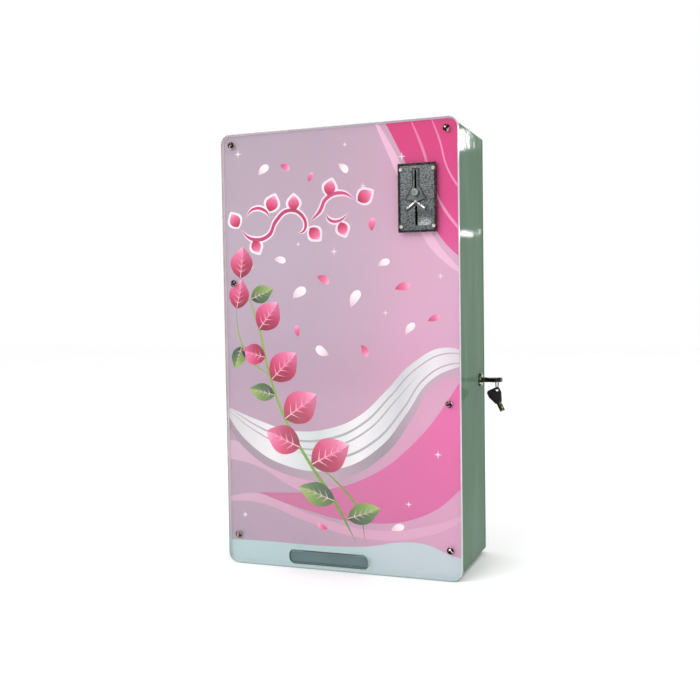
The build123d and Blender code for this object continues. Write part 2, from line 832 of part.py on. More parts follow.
# Coin mechanism: a moulded case with a coin path that drops through it
def make_coin_mech():
    x = coin_plate_centre_x
    z = coin_plate_centre_z
    path_x = coin_path_x
    case_back_y = plate_back_y + mech_depth
    case = block(
        x - mech_width / 2,
        x + mech_width / 2,
        plate_back_y,
        case_back_y,
        z - mech_height / 2,
        z + mech_height / 2,
    )
    case = fillet(case.edges().group_by(Axis.Y)[-1], mech_edge_round)
    case += block(
        x - mech_neck_width / 2,
        x + mech_neck_width / 2,
        panel_front_y,
        plate_back_y,
        z - mech_neck_height / 2,
        z + mech_neck_height / 2,
    )
    rib_pitch = mech_height / (mech_rib_count + 1)
    for index in range(mech_rib_count):
        rib_z = z - mech_height / 2 + (index + 1) * rib_pitch
        case += block(
            x - mech_width / 2 + mech_edge_round,
            x + mech_width / 2 - mech_edge_round,
            case_back_y,
            case_back_y + mech_rib_depth,
            rib_z - mech_rib_width / 2,
            rib_z + mech_rib_width / 2,
        )
    left = path_x - mech_path_width / 2
    right = path_x + mech_path_width / 2
    path_end_y = panel_front_y + mech_path_depth
    front = panel_front_y - cut_overrun
    drop_front_y = panel_front_y + mech_drop_depth
    slot_low = z + coin_slot_centre_z - coin_slot_height / 2
    slot_high = z + coin_slot_centre_z + coin_slot_height / 2
    case -= block(left, right, front, path_end_y, slot_low, slot_high)
    case -= block(left, right, drop_front_y, path_end_y, z - mech_height / 2 - cut_overrun, slot_high)
    case -= block(left, right, front, path_end_y, z + return_slit_bottom_z, z + return_slit_top_z)
    button_z = z + button_centre_z
    flange_end_y = panel_front_y + seat_gap + button_flange_thickness
    pocket_radius = button_flange_radius + running_clearance
    case -= rod_y(path_x, front, flange_end_y + button_travel + seat_gap, button_z, pocket_radius)
    pocket_end_y = panel_front_y + mech_spring_pocket_depth
    case -= rod_y(path_x, front, pocket_end_y, button_z, mech_spring_pocket_radius)
    stem_end_y = flange_end_y + button_stem_length + button_travel + seat_gap
    case -= rod_y(path_x, front, stem_end_y, button_z, button_stem_radius + running_clearance)
    for screw_x, screw_z in coin_screw_places():
        case -= rod_y(
            screw_x,
            front,
            panel_front_y - coin_plate_thickness + coin_screw_length + cut_overrun,
            screw_z,
            coin_screw_radius + running_clearance,
        )
    return case


def make_coin_switch():
    right = coin_plate_centre_x - mech_width / 2
    centre_y = plate_back_y + mech_depth / 2
    return block(
        right - coin_switch_width,
        right,
        centre_y - coin_switch_length / 2,
        centre_y + coin_switch_length / 2,
        coin_plate_centre_z - coin_switch_height / 2,
        coin_plate_centre_z + coin_switch_height / 2,
    )


# Coin chute: a square sheet tube down to the coin box, strapped to the front plate
def make_coin_chute():
    top_z = coin_plate_centre_z - mech_height / 2
    centre_y = panel_front_y + (mech_drop_depth + mech_path_depth) / 2
    front_y = centre_y - coin_chute_depth / 2
    rear_y = centre_y + coin_chute_depth / 2
    left = coin_path_x - coin_chute_width / 2
    right = coin_path_x + coin_chute_width / 2
    tube = block(left, right, front_y, rear_y, coin_chute_bottom_z, top_z)
    tube -= block(
        left + coin_chute_sheet,
        right - coin_chute_sheet,
        front_y + coin_chute_sheet,
        rear_y - coin_chute_sheet,
        coin_chute_bottom_z - cut_overrun,
        top_z + cut_overrun,
    )
    for strap_z in (coin_chute_bottom_z + coin_chute_strap_height, top_z - 2 * coin_chute_strap_height):
        tube += block(
            left - coin_chute_strap_height,
            right + coin_chute_strap_height,
            plate_back_y,
            plate_back_y + coin_chute_sheet,
            strap_z,
            strap_z + coin_chute_strap_height,
        )
        for side in (left, right - coin_chute_sheet):
            tube += block(
                side,
                side + coin_chute_sheet,
                plate_back_y,
                front_y + coin_chute_sheet,
                strap_z,
                strap_z + coin_chute_strap_height,
            )
    return tube


# Lock: threaded barrel with a flange, nut, turning plug, cam and its bolt
def make_lock_barrel():
    flange_face_x = cover_half_width + lock_flange_thickness
    flange = rod_x(cover_half_width, flange_face_x, lock_y, lock_z, lock_flange_radius)
    flange = chamfer(flange.edges().group_by(Axis.X)[-1], lock_flange_chamfer)
    barrel = rod_x(lock_back_x, cover_half_width, lock_y, lock_z, lock_barrel_radius)
    bore = rod_x(
        lock_back_x - cut_overrun,
        flange_face_x + cut_overrun,
        lock_y,
        lock_z,
        lock_plug_radius + running_clearance,
    )
    return flange + barrel - bore


def make_lock_nut():
    start = inner_half_width - lock_nut_thickness
    nut = hexagon_bar("x", start, inner_half_width, lock_y, lock_z, lock_nut_flats)
    bore = rod_x(
        start - cut_overrun,
        inner_half_width + cut_overrun,
        lock_y,
        lock_z,
        lock_barrel_radius + running_clearance,
    )
    return nut - bore


def make_lock_plug():
    face_x = cover_half_width + lock_flange_thickness - seat_gap
    plug = rod_x(lock_back_x, face_x, lock_y, lock_z, lock_plug_radius)
    cam_x = lock_back_x - seat_gap - lock_cam_thickness
    half = lock_square / 2
    plug += block(cam_x, lock_back_x, lock_y - half, lock_y + half, lock_z - half, lock_z + half)
    bolt_hole = rod_x(
        cam_x - cut_overrun,
        lock_back_x,
        lock_y,
        lock_z,
        lock_bolt_radius + running_clearance,
    )
    key_slot = rod_x(
        face_x - key_in_lock - key_slot_clearance,
        face_x + cut_overrun,
        lock_y,
        lock_z,
        key_tube_radius + key_slot_clearance,
    ) - rod_x(
        face_x - key_in_lock - key_slot_clearance,
        face_x,
        lock_y,
        lock_z,
        key_tube_bore_radius - key_slot_clearance,
    )
    return plug - bolt_hole - key_slot


def make_lock_cam():
    cam_x = lock_back_x - seat_gap - lock_cam_thickness
    half_width = lock_cam_width / 2
    cam = rod_x(cam_x, cam_x + lock_cam_thickness, lock_y, lock_z, half_width)
    cam += block(
        cam_x,
        cam_x + lock_cam_thickness,
        lock_y,
        lock_y + lock_cam_reach,
        lock_z - half_width,
        lock_z + half_width,
    )
    half = lock_square / 2
    hole = block(
        cam_x - cut_overrun,
        cam_x + lock_cam_thickness + cut_overrun,
        lock_y - half,
        lock_y + half,
        lock_z - half,
        lock_z + half,
    )
    return cam - hole


def make_cam_bolt():
    seat_x = lock_back_x - seat_gap - lock_cam_thickness
    head = hexagon_bar("x", seat_x - lock_bolt_head_height, seat_x, lock_y, lock_z, 2 * lock_bolt_head_radius)
    shank = rod_x(
        seat_x - lock_bolt_head_height / 2,
        lock_back_x - seat_gap,
        lock_y,
        lock_z,
        lock_bolt_radius,
    )
    return head + shank


def make_lock_catch():
    """A bracket on the base whose lip stands in front of the raised cam."""
    cam_mid_x = lock_back_x - seat_gap - lock_cam_thickness / 2
    left = cam_mid_x - catch_width / 2
    right = cam_mid_x + catch_width / 2
    lip_rear_y = lock_y - lock_cam_width / 2 - catch_gap
    lip_front_y = lip_rear_y - catch_sheet
    web_low_z = lock_z + lock_cam_reach + catch_cam_clearance
    web_high_z = web_low_z + catch_sheet
    web = block(left, right, -base_sheet, lip_front_y, web_low_z, web_high_z)
    foot = block(
        left,
        right,
        -base_sheet,
        -base_sheet - catch_sheet,
        web_low_z,
        web_low_z + catch_foot_length,
    )
    lip = block(left, right, lip_rear_y, lip_front_y, web_high_z - catch_lip_length, web_high_z)
    return web + foot + lip


# Keys: a tube with a moulded bow, drawn along X with the tube tip at zero and then placed
def key_tube():
    tube = rod_x(0, key_tube_length, 0, 0, key_tube_radius)
    return tube - rod_x(-cut_overrun, key_tube_length - key_tube_radius, 0, 0, key_tube_bore_radius)


def key_bow():
    start = key_tube_length - key_bow_edge_round
    end = key_tube_length + key_bow_length
    wide = key_tube_length + key_bow_wide_share * key_bow_length
    outline = Polyline(
        (start, -key_bow_neck_half_width),
        (wide, -key_bow_half_width),
        (end, -key_bow_half_width),
        (end, key_bow_half_width),
        (wide, key_bow_half_width),
        (start, key_bow_neck_half_width),
        close=True,
    )
    face = make_face(outline)
    corners = [corner for corner in face.vertices() if corner.X > start + key_bow_edge_round]
    face = fillet(corners, key_bow_corner_round)
    bow = extrude(face, amount=key_bow_thickness / 2, both=True)
    bow = fillet(bow.edges().group_by(Axis.Z)[-1] + bow.edges().group_by(Axis.Z)[0], key_bow_edge_round)
    bow -= rod_x(start - cut_overrun, key_tube_length, 0, 0, key_tube_radius)
    hole_x = end - key_hole_from_end
    hole_y = -key_hole_offset
    bow -= rod_z(hole_x, hole_y, -key_bow_thickness, key_bow_thickness, key_hole_radius)
    for side in (-1, 1):
        lug_z = side * key_lug_thickness / 2
        recess = rod_z(hole_x, hole_y, lug_z, side * key_bow_thickness, key_lug_radius)
        recess += block(
            hole_x - key_lug_radius,
            hole_x + key_lug_radius,
            hole_y,
            -key_bow_half_width - cut_overrun,
            lug_z,
            side * key_bow_thickness,
        )
        bow -= recess
    return bow


key_tip_x = cover_half_width + lock_flange_thickness - seat_gap - key_in_lock
key_place = Pos(key_tip_x, lock_y, lock_z)
ring_hole_x = key_tip_x + key_tube_length + key_bow_length - key_hole_from_end
ring_hole_y = lock_y - key_hole_offset
ring_centre_y = ring_hole_y - ring_radius * math.cos(math.radians(ring_tilt))
ring_centre_z = lock_z - ring_radius * math.sin(math.radians(ring_tilt))
spare_hang_z = ring_centre_z - ring_radius
# The spare key hangs with its hole under the ring wire, its tube down and its flat side to the front
spare_place = (
    Pos(ring_hole_x, ring_centre_y, spare_hang_z - spare_key_hang)
    * Rot(0, -spare_key_tilt, 0)
    * Rot(90, 0, 0)
    * Rot(0, 0, 90)
    * Pos(-(key_tube_length + key_bow_length - key_hole_from_end), key_hole_offset, 0)
)


def make_key_ring():
    ring = Torus(ring_radius, ring_wire_radius)
    return Pos(ring_hole_x, ring_centre_y, ring_centre_z) * Rot(0, 90, 0) * ring


# Delivery flap: a sheet flap with two knuckles on a pin between two ears
def make_flap():
    half = flap_width / 2
    front_y = flap_axis_y - flap_knuckle_radius
    rear_y = front_y + flap_sheet
    bottom_z = plate_slot_bottom_z + flap_bottom_gap
    flap = block(slot_centre_x - half, slot_centre_x + half, front_y, rear_y, bottom_z, flap_axis_z)
    knuckle_places = (slot_centre_x - half, slot_centre_x + half - flap_knuckle_length)
    for low in knuckle_places:
        flap += rod_x(low, low + flap_knuckle_length, flap_axis_y, flap_axis_z, flap_knuckle_radius)
    flap -= rod_x(
        slot_centre_x - half - cut_overrun,
        slot_centre_x + half + cut_overrun,
        flap_axis_y,
        flap_axis_z,
        flap_pin_radius + running_clearance,
    )
    return flap


def make_flap_ears():
    ears = []
    half = flap_width / 2 + seat_gap
    for side in (-1, 1):
        inner = slot_centre_x + side * half
        outer = inner + side * flap_ear_sheet
        low_z = flap_axis_z - flap_ear_height / 2
        ear = block(inner, outer, plate_back_y, plate_back_y + flap_ear_depth, low_z, low_z + flap_ear_height)
        ear += block(
            inner,
            inner + side * flap_ear_foot,
            plate_back_y,
            plate_back_y + flap_ear_sheet,
            plate_slot_top_z + flap_ear_sheet,
            plate_slot_top_z + flap_ear_height,
        )
        ear += block(
            inner,
            outer,
            plate_back_y,
            plate_back_y + flap_ear_depth,
            low_z,
            plate_slot_top_z + flap_ear_height,
        )
        ear -= rod_x(
            inner - side * cut_overrun,
            outer + side * cut_overrun,
            flap_axis_y,
            flap_axis_z,
            flap_pin_radius + running_clearance,
        )
        ears.append(ear)
    return group(ears)


def make_flap_pin():
    reach = flap_width / 2 + seat_gap + flap_ear_sheet
    pin = rod_x(slot_centre_x - reach, slot_centre_x + reach, flap_axis_y, flap_axis_z, flap_pin_radius)
    for side in (-1, 1):
        end_x = slot_centre_x + side * reach
        pin += rod_x(end_x, end_x + side * flap_sheet, flap_axis_y, flap_axis_z, flap_knuckle_radius)
    return pin


# Magazine: a channel that holds the stack of packs over the shelf
def make_magazine():
    x = magazine_x
    rear_y = -base_sheet
    low_z = shelf_top_z
    gate_z = shelf_top_z + magazine_gate_height
    channel = block(
        x - magazine_half_width, x + magazine_half_width, rear_y, shelf_front_y, low_z, magazine_top_z
    )
    channel -= block(
        x - magazine_inner_width / 2,
        x + magazine_inner_width / 2,
        rear_y - magazine_sheet,
        magazine_front_y,
        low_z - cut_overrun,
        magazine_top_z + cut_overrun,
    )
    window_half = magazine_inner_width / 2 - magazine_lip_width
    channel -= block(
        x - window_half,
        x + window_half,
        magazine_front_y + cut_overrun,
        shelf_front_y - cut_overrun,
        low_z - cut_overrun,
        magazine_top_z + cut_overrun,
    )
    channel -= block(
        x - magazine_inner_width / 2,
        x + magazine_inner_width / 2,
        magazine_front_y + cut_overrun,
        shelf_front_y - cut_overrun,
        low_z - cut_overrun,
        gate_z,
    )
    return channel


def make_magazine_strap():
    """A cross strap over the gate: it ties the two lips and stops the follower handle."""
    half = magazine_inner_width / 2
    low_z = shelf_top_z + magazine_gate_height
    return block(
        magazine_x - half,
        magazine_x + half,
        shelf_front_y,
        shelf_front_y - strap_sheet,
        low_z,
        low_z + strap_height,
    )


def make_shelf():
    x = magazine_x
    half = shelf_half_width
    shelf = block(x - half, x + half, -base_sheet, shelf_front_y, shelf_bottom_z, shelf_top_z)
    for side in (-1, 1):
        shelf += block(
            x + side * half,
            x + side * (half - magazine_sheet),
            -base_sheet,
            shelf_front_y,
            shelf_bottom_z,
            shelf_top_z + shelf_rim_height,
        )
        slot_x = x + side * pusher_finger_offset
        slot_end_y = -pusher_home_from_wall - pusher_bar_depth - pusher_travel - cut_overrun
        shelf -= block(
            slot_x - shelf_slot_width / 2,
            slot_x + shelf_slot_width / 2,
            -pusher_home_from_wall + cut_overrun,
            slot_end_y,
            shelf_bottom_z - cut_overrun,
            shelf_top_z + cut_overrun,
        )
    return shelf


def make_follower():
    x = magazine_x
    half = magazine_inner_width / 2 - follower_clearance
    rear_y = -base_sheet - magazine_sheet - follower_clearance
    front_y = magazine_front_y + follower_clearance
    low_z = shelf_top_z + follower_above_shelf
    top_z = low_z + follower_height
    weight = block(x - half, x + half, rear_y, front_y, low_z, top_z)
    weight = fillet(weight.edges().filter_by(Axis.Z), follower_round)
    handle_low_z = shelf_top_z + magazine_gate_height + strap_height
    handle = block(
        x - follower_handle_width / 2,
        x + follower_handle_width / 2,
        front_y + follower_handle_reach,
        shelf_front_y - follower_handle_reach,
        handle_low_z,
        handle_low_z + follower_handle_height,
    )
    return weight + handle


# Pusher: a cross bar under the shelf with two fingers up through it, and the rack at its right end
def make_pusher():
    rear_y = rack_rear_y
    front_y = rear_y - pusher_bar_depth
    left = magazine_x - pusher_finger_offset - pusher_finger_width / 2
    bar = block(left, rack_left_x, rear_y, front_y, pusher_bottom_z, pusher_top_z)
    for side in (-1, 1):
        finger_x = magazine_x + side * pusher_finger_offset
        bar += block(
            finger_x - pusher_finger_width / 2,
            finger_x + pusher_finger_width / 2,
            rear_y,
            front_y,
            pusher_bottom_z,
            shelf_top_z + pusher_finger_height,
        )
    return bar


def make_rack():
    half_pitch_width = tooth_pitch / 4 - gear_backlash / 4
    slant = math.tan(math.radians(gear_pressure_angle))
    tip_half = half_pitch_width - gear_module * slant
    root_half = half_pitch_width + (1 + gear_clearance_share) * gear_module * slant
    front_y = rack_rear_y - rack_length
    body = block(rack_left_x, rack_right_x, rack_rear_y, front_y, rack_root_z, pusher_top_z)
    teeth_behind = int((rack_rear_y - pinion_y - root_half) / tooth_pitch)
    teeth_ahead = int((pinion_y - front_y - root_half) / tooth_pitch)
    for index in range(-teeth_ahead, teeth_behind + 1):
        y = pinion_y + index * tooth_pitch
        body += slab_x(
            [
                (y - root_half, rack_root_z),
                (y - tip_half, rack_tip_z),
                (y + tip_half, rack_tip_z),
                (y + root_half, rack_root_z),
            ],
            rack_left_x,
            rack_right_x,
        )
    return body


def involute_angle(radius, base_radius):
    """The polar angle that an involute has unwound at a radius."""
    angle = math.acos(base_radius / radius)
    return math.tan(angle) - angle


def make_pinion():
    """A spur pinion with a gap between teeth straight up, where the rack tooth stands at rest."""
    base_radius = pinion_pitch_radius * math.cos(math.radians(gear_pressure_angle))
    tip_radius = pinion_pitch_radius + gear_module
    root_radius = pinion_pitch_radius - (1 + gear_clearance_share) * gear_module
    flank_steps = 4
    half_tooth = (math.pi / 2 - gear_backlash / gear_module / 2) / pinion_teeth
    at_pitch = involute_angle(pinion_pitch_radius, base_radius)
    start_radius = max(base_radius, root_radius)
    flank = []
    for step in range(flank_steps + 1):
        radius = start_radius + (tip_radius - start_radius) * step / flank_steps
        flank.append((radius, half_tooth + at_pitch - involute_angle(radius, base_radius)))
    outline = []
    for tooth in range(pinion_teeth):
        middle = math.pi / 2 + (tooth + 1 / 2) * 2 * math.pi / pinion_teeth
        outline.append((root_radius, middle - flank[0][1]))
        outline.extend((radius, middle - angle) for radius, angle in flank)
        outline.extend((radius, middle + angle) for radius, angle in reversed(flank))
        outline.append((root_radius, middle + flank[0][1]))
    points = []
    for radius, angle in outline:
        points.append((pinion_y + radius * math.cos(angle), pinion_z + radius * math.sin(angle)))
    gear = slab_x(points, rack_left_x, rack_right_x)
    hub_end_x = rack_right_x + pinion_hub_length
    gear += rod_x(rack_right_x, hub_end_x, pinion_y, pinion_z, pinion_hub_radius)
    bore = rod_x(
        rack_left_x - cut_overrun,
        hub_end_x + cut_overrun,
        pinion_y,
        pinion_z,
        shaft_radius + running_clearance,
    )
    return gear - bore


def make_output_shaft():
    end_x = bracket_right_x + shaft_in_gearbox
    return rod_x(rack_left_x - bracket_gap, end_x, pinion_y, pinion_z, shaft_radius)


def make_gear_motor():
    gearbox = rod_x(bracket_right_x, gearbox_end_x, pinion_y, pinion_z, gearbox_radius)
    can_end_x = gearbox_end_x + motor_length
    motor = gearbox + rod_x(gearbox_end_x, can_end_x, pinion_y, pinion_z, motor_radius)
    motor += rod_x(can_end_x, can_end_x + motor_cap_length, pinion_y, pinion_z, motor_cap_radius)
    for side in (-1, 1):
        terminal_z = pinion_z + side * motor_cap_radius / 2
        motor += block(
            can_end_x,
            can_end_x + motor_cap_length + motor_terminal_length,
            pinion_y - motor_terminal_width / 2,
            pinion_y + motor_terminal_width / 2,
            terminal_z - motor_terminal_sheet / 2,
            terminal_z + motor_terminal_sheet / 2,
        )
    motor -= rod_x(
        bracket_right_x - cut_overrun,
        bracket_right_x + shaft_in_gearbox + seat_gap,
        pinion_y,
        pinion_z,
        shaft_radius + running_clearance,
    )
    for y, z in motor_screw_places():
        motor -= rod_x(
            bracket_right_x - cut_overrun,
            bracket_right_x + motor_screw_depth + seat_gap,
            y,
            z,
            motor_screw_radius + running_clearance,
        )
    return motor


def motor_screw_places():
    places = []
    for index in range(motor_screw_count):
        angle = math.pi / motor_screw_count + index * 2 * math.pi / motor_screw_count
        places.append(
            (
                pinion_y + motor_screw_ring_radius * math.cos(angle),
                pinion_z + motor_screw_ring_radius * math.sin(angle),
            )
        )
    return places


def make_motor_screws():
    screws = []
    seat_x = bracket_left_x
    for y, z in motor_screw_places():
        head = rod_x(seat_x - motor_screw_head_height, seat_x, y, z, motor_screw_head_radius)
        screws.append(head + rod_x(seat_x, bracket_right_x + motor_screw_depth, y, z, motor_screw_radius))
    return group(screws)


def make_motor_bracket():
    """An upright sheet on the base: it carries the motor, and its top rim guides the rack."""
    top_z = pusher_top_z + bracket_guide_gap + bracket_sheet
    low_z = top_z - bracket_height
    bracket = block(bracket_left_x, bracket_right_x, -base_sheet, -bracket_reach, low_z, top_z)
    bracket += block(
        bracket_left_x,
        bracket_right_x + bracket_foot_width,
        -base_sheet,
        -base_sheet - bracket_sheet,
        low_z,
        top_z,
    )
    bracket += block(
        magazine_x + shelf_half_width,
        bracket_right_x,
        -base_sheet,
        -bracket_reach,
        top_z - bracket_sheet,
        top_z,
    )
    bracket -= rod_x(
        bracket_left_x - cut_overrun,
        bracket_right_x + cut_overrun,
        pinion_y,
        pinion_z,
        shaft_radius + cut_overrun,
    )
    for y, z in motor_screw_places():
        bracket -= rod_x(
            bracket_left_x - cut_overrun,
            bracket_right_x + cut_overrun,
            y,
            z,
            motor_screw_radius + hole_clearance,
        )
    return bracket


def make_home_switch():
    top_z = pusher_bottom_z - cut_overrun
    case = block(
        magazine_x - switch_length / 2,
        magazine_x + switch_length / 2,
        -base_sheet,
        -base_sheet - switch_depth,
        top_z - switch_height,
        top_z,
    )
    lever_front_y = rack_rear_y + switch_lever_gap
    lever = block(
        magazine_x - switch_length / 4,
        magazine_x + switch_length / 4,
        lever_front_y,
        lever_front_y + switch_lever_sheet,
        top_z,
        pusher_bottom_z + pusher_bar_height / 2,
    )
    return case + lever


# Delivery chute: a sloped floor between two side walls, hung from the base by a flat tail
def make_chute():
    half = chute_inner_width / 2
    x = magazine_x
    fall = chute_sheet / math.cos(math.radians(chute_slope))
    floor = slab_x(
        [
            (chute_front_y, chute_front_z - fall),
            (chute_front_y, chute_front_z),
            (chute_rear_y, chute_rear_z),
            (-base_sheet, chute_rear_z),
            (-base_sheet, chute_rear_z - chute_sheet),
            (chute_rear_y, chute_rear_z - fall),
        ],
        x - half,
        x + half,
    )
    floor += block(
        x - half,
        x + half,
        -base_sheet,
        -base_sheet - chute_sheet,
        chute_rear_z,
        chute_rear_z + base_rim_depth,
    )
    tall_end_y = chute_front_y + chute_tall_wall_depth
    wall_step_z = flap_axis_z + flap_knuckle_radius + chute_flap_gap
    wall_foot_y = flap_axis_y + flap_reach + chute_flap_gap
    slope_rise = (wall_foot_y - chute_front_y) * math.tan(math.radians(chute_slope))
    side_outline = [
        (wall_foot_y, chute_front_z - fall + slope_rise),
        (wall_foot_y, wall_step_z),
        (chute_front_y, wall_step_z),
        (chute_front_y, chute_wall_top_z),
        (tall_end_y, chute_wall_top_z),
        (tall_end_y, chute_wall_low_z),
        (chute_rear_y, chute_wall_low_z),
        (chute_rear_y, chute_rear_z - fall),
    ]
    floor += slab_x(side_outline, x - half - chute_sheet, x - half)
    floor += slab_x(side_outline, x + half, x + half + chute_sheet)
    return floor


# Coin box and the shelf that it stands on
def make_coin_box():
    box = block(box_left_x, box_right_x, -box_from_wall, box_front_y, box_bottom_z, box_top_z)
    edge_round = min(box_edge_round, (box_right_x - box_left_x) * box_round_share)
    box = fillet(box.edges().filter_by(Axis.Z), edge_round)
    inside = block(
        box_left_x + box_sheet,
        box_right_x - box_sheet,
        -box_from_wall - box_sheet,
        box_front_y + box_sheet,
        box_bottom_z + box_sheet,
        box_top_z + cut_overrun,
    )
    box -= fillet(inside.edges().filter_by(Axis.Z), edge_round - box_sheet)
    middle = (box_left_x + box_right_x) / 2
    grip = block(
        middle - box_bail_width / 2,
        middle + box_bail_width / 2,
        box_front_y,
        box_front_y - box_bail_height,
        box_top_z - box_bail_height - box_bail_sheet,
        box_top_z - box_bail_height,
    )
    return box + grip


def make_box_shelf():
    shelf = block(
        box_left_x,
        box_right_x,
        -base_sheet,
        box_lip_y,
        box_shelf_z,
        box_bottom_z,
    )
    shelf += block(
        box_left_x,
        box_right_x,
        -base_sheet,
        -base_sheet - box_shelf_sheet,
        box_shelf_z,
        box_shelf_z + box_shelf_back_height,
    )
    shelf += block(
        box_left_x,
        box_right_x,
        box_front_y - seat_gap,
        box_lip_y,
        box_shelf_z,
        box_bottom_z + box_shelf_lip,
    )
    return shelf


# Control board on four spacers
def board_places():
    places = []
    for x in (board_left_x + board_hole_inset, board_left_x + board_width - board_hole_inset):
        for z in (board_bottom_z + board_hole_inset, board_bottom_z + board_height - board_hole_inset):
            places.append((x, z))
    return places


board_rear_y = -base_sheet - board_spacer_length
board_front_y = board_rear_y - board_thickness


def make_board():
    board = block(
        board_left_x,
        board_left_x + board_width,
        board_rear_y,
        board_front_y,
        board_bottom_z,
        board_bottom_z + board_height,
    )
    start_y = board_rear_y + cut_overrun
    end_y = board_front_y - cut_overrun
    for x, z in board_places():
        board -= rod_y(x, start_y, end_y, z, board_screw_radius + hole_clearance)
    return board


def make_board_spacers():
    spacers = []
    for x, z in board_places():
        spacer = rod_y(x, -base_sheet, board_rear_y, z, board_spacer_radius)
        bore_radius = board_screw_radius + running_clearance
        spacers.append(spacer - rod_y(x, cut_overrun, board_rear_y - cut_overrun, z, bore_radius))
    return group(spacers)


def make_board_screws():
    screws = []
    for x, z in board_places():
        head = domed_head(x, board_front_y, z, board_screw_head_radius, board_screw_head_height)
        screws.append(
            head + rod_y(x, board_front_y - board_screw_head_height / 2, -base_sheet, z, board_screw_radius)
        )
    return group(screws)


# Components on the board, as shares of its width and height: left, bottom, width, height, depth
component_shares = [
    (0.12, 0.12, 0.34, 0.14, 0.22),
    (0.54, 0.12, 0.34, 0.14, 0.22),
    (0.14, 0.42, 0.26, 0.14, 0.30),
    (0.14, 0.62, 0.26, 0.14, 0.30),
    (0.52, 0.48, 0.34, 0.10, 0.06),
    (0.52, 0.66, 0.16, 0.06, 0.06),
    (0.74, 0.66, 0.12, 0.12, 0.12),
]
capacitor_shares = [(0.60, 0.36, 0.07, 0.24), (0.80, 0.36, 0.07, 0.24), (0.50, 0.84, 0.05, 0.16)]


def make_board_components():
    parts = []
    for left, bottom, width, height, depth in component_shares:
        x0 = board_left_x + left * board_width
        z0 = board_bottom_z + bottom * board_height
        parts.append(
            block(
                x0,
                x0 + width * board_width,
                board_front_y,
                board_front_y - depth * board_width,
                z0,
                z0 + height * board_height,
            )
        )
    for across, up, radius, depth in capacitor_shares:
        parts.append(
            rod_y(
                board_left_x + across * board_width,
                board_front_y,
                board_front_y - depth * board_width,
                board_bottom_z + up * board_height,
                radius * board_width,
            )
        )
    return group(parts)


# Battery holder and cells
cell_axis_y = -base_sheet - holder_floor - cell_radius - seat_gap
holder_inner_left = holder_left_x + holder_wall
holder_inner_right = holder_inner_left + cell_length + cell_cap_length + holder_end_gap
holder_inner_low = holder_bottom_z + holder_wall
holder_inner_high = holder_inner_low + cell_count * cell_pitch


def make_battery_holder():
    holder = block(
        holder_left_x,
        holder_inner_right + holder_wall,
        -base_sheet,
        -base_sheet - holder_height,
        holder_bottom_z,
        holder_inner_high + holder_wall,
    )
    holder -= block(
        holder_inner_left,
        holder_inner_right,
        -base_sheet - holder_floor,
        -base_sheet - holder_height - cut_overrun,
        holder_inner_low,
        holder_inner_high,
    )
    return holder


def make_cells():
    cells = []
    for index in range(cell_count):
        z = holder_inner_low + (index + 1 / 2) * cell_pitch
        body_start = holder_inner_left + holder_end_gap / 2
        cell = rod_x(body_start, body_start + cell_length, cell_axis_y, z, cell_radius)
        cap_end = body_start + cell_length + cell_cap_length
        cell += rod_x(body_start + cell_length, cap_end, cell_axis_y, z, cell_cap_radius)
        cells.append(cell)
    return group(cells)


# Rivets that hold the chute tail, the bracket foot, the box shelf and the catch to the base
def make_inner_rivets():
    places = [
        (magazine_x - chute_inner_width / 4, chute_rear_z + base_rim_depth / 2, chute_sheet),
        (magazine_x + chute_inner_width / 4, chute_rear_z + base_rim_depth / 2, chute_sheet),
        (
            (box_left_x + box_right_x) / 2,
            box_shelf_z + box_shelf_back_height - rivet_inset,
            box_shelf_sheet,
        ),
        (
            lock_back_x - seat_gap - lock_cam_thickness / 2,
            lock_z + lock_cam_reach + catch_cam_clearance + catch_foot_length - rivet_inset,
            catch_sheet,
        ),
        (
            bracket_right_x + bracket_foot_width / 2,
            pusher_top_z + bracket_sheet - bracket_height / 4,
            bracket_sheet,
        ),
        (
            bracket_right_x + bracket_foot_width / 2,
            pusher_top_z + bracket_sheet - bracket_height * 3 / 4,
            bracket_sheet,
        ),
    ]
    for share in (1 / 8, 7 / 8):
        z = shelf_top_z + share * (magazine_top_z - shelf_top_z)
        places.append((magazine_x, z, magazine_sheet))
    rivets = []
    for x, z, thickness in places:
        seat_y = -base_sheet - thickness
        rivets.append(domed_head(x, seat_y, z, rivet_head_radius, rivet_head_height))
    return group(rivets)


save(make_base_plate(), "base_plate")
save(make_hinge_leaf(base_left_x - hinge_leaf_sheet, base_left_x, 0), "hinge_leaf_base")
save(make_hinge_leaf(-inner_half_width, -inner_half_width + hinge_leaf_sheet, 1), "hinge_leaf_cover")
save(make_hinge_pin(), "hinge_pin")
save(make_cover_wrap(), "cover_wrap")
save(make_front_plate(), "cover_front_plate")
save(make_print_sheet(), "print_sheet")
save(make_panel(), "acrylic_panel")
save(make_panel_screws(), "panel_screws")
save(make_panel_nuts(), "panel_nuts")
save(make_coin_plate(), "coin_face_plate")
save(make_coin_plate_screws(), "coin_plate_screws")
save(make_reject_button(), "reject_button")
save(make_reject_spring(), "reject_spring")
save(make_coin_mech(), "coin_mechanism")
save(make_coin_switch(), "coin_switch")
save(make_coin_chute(), "coin_chute")
save(make_lock_barrel(), "lock_barrel")
save(make_lock_nut(), "lock_nut")
save(make_lock_plug(), "lock_plug")
save(make_lock_cam(), "lock_cam")
save(make_cam_bolt(), "cam_bolt")
save(make_lock_catch(), "lock_catch")
save(key_place * key_tube(), "key_tube")
save(key_place * key_bow(), "key_bow")
save(make_key_ring(), "key_ring")
save(spare_place * key_tube(), "spare_key_tube")
save(spare_place * key_bow(), "spare_key_bow")
save(make_flap(), "delivery_flap")
save(make_flap_ears(), "flap_ears")
save(make_flap_pin(), "flap_pin")
save(make_magazine(), "magazine")
save(make_magazine_strap(), "magazine_strap")
save(make_shelf(), "magazine_shelf")
save(make_follower(), "follower_weight")
save(make_pusher(), "pusher")
save(make_rack(), "pusher_rack")
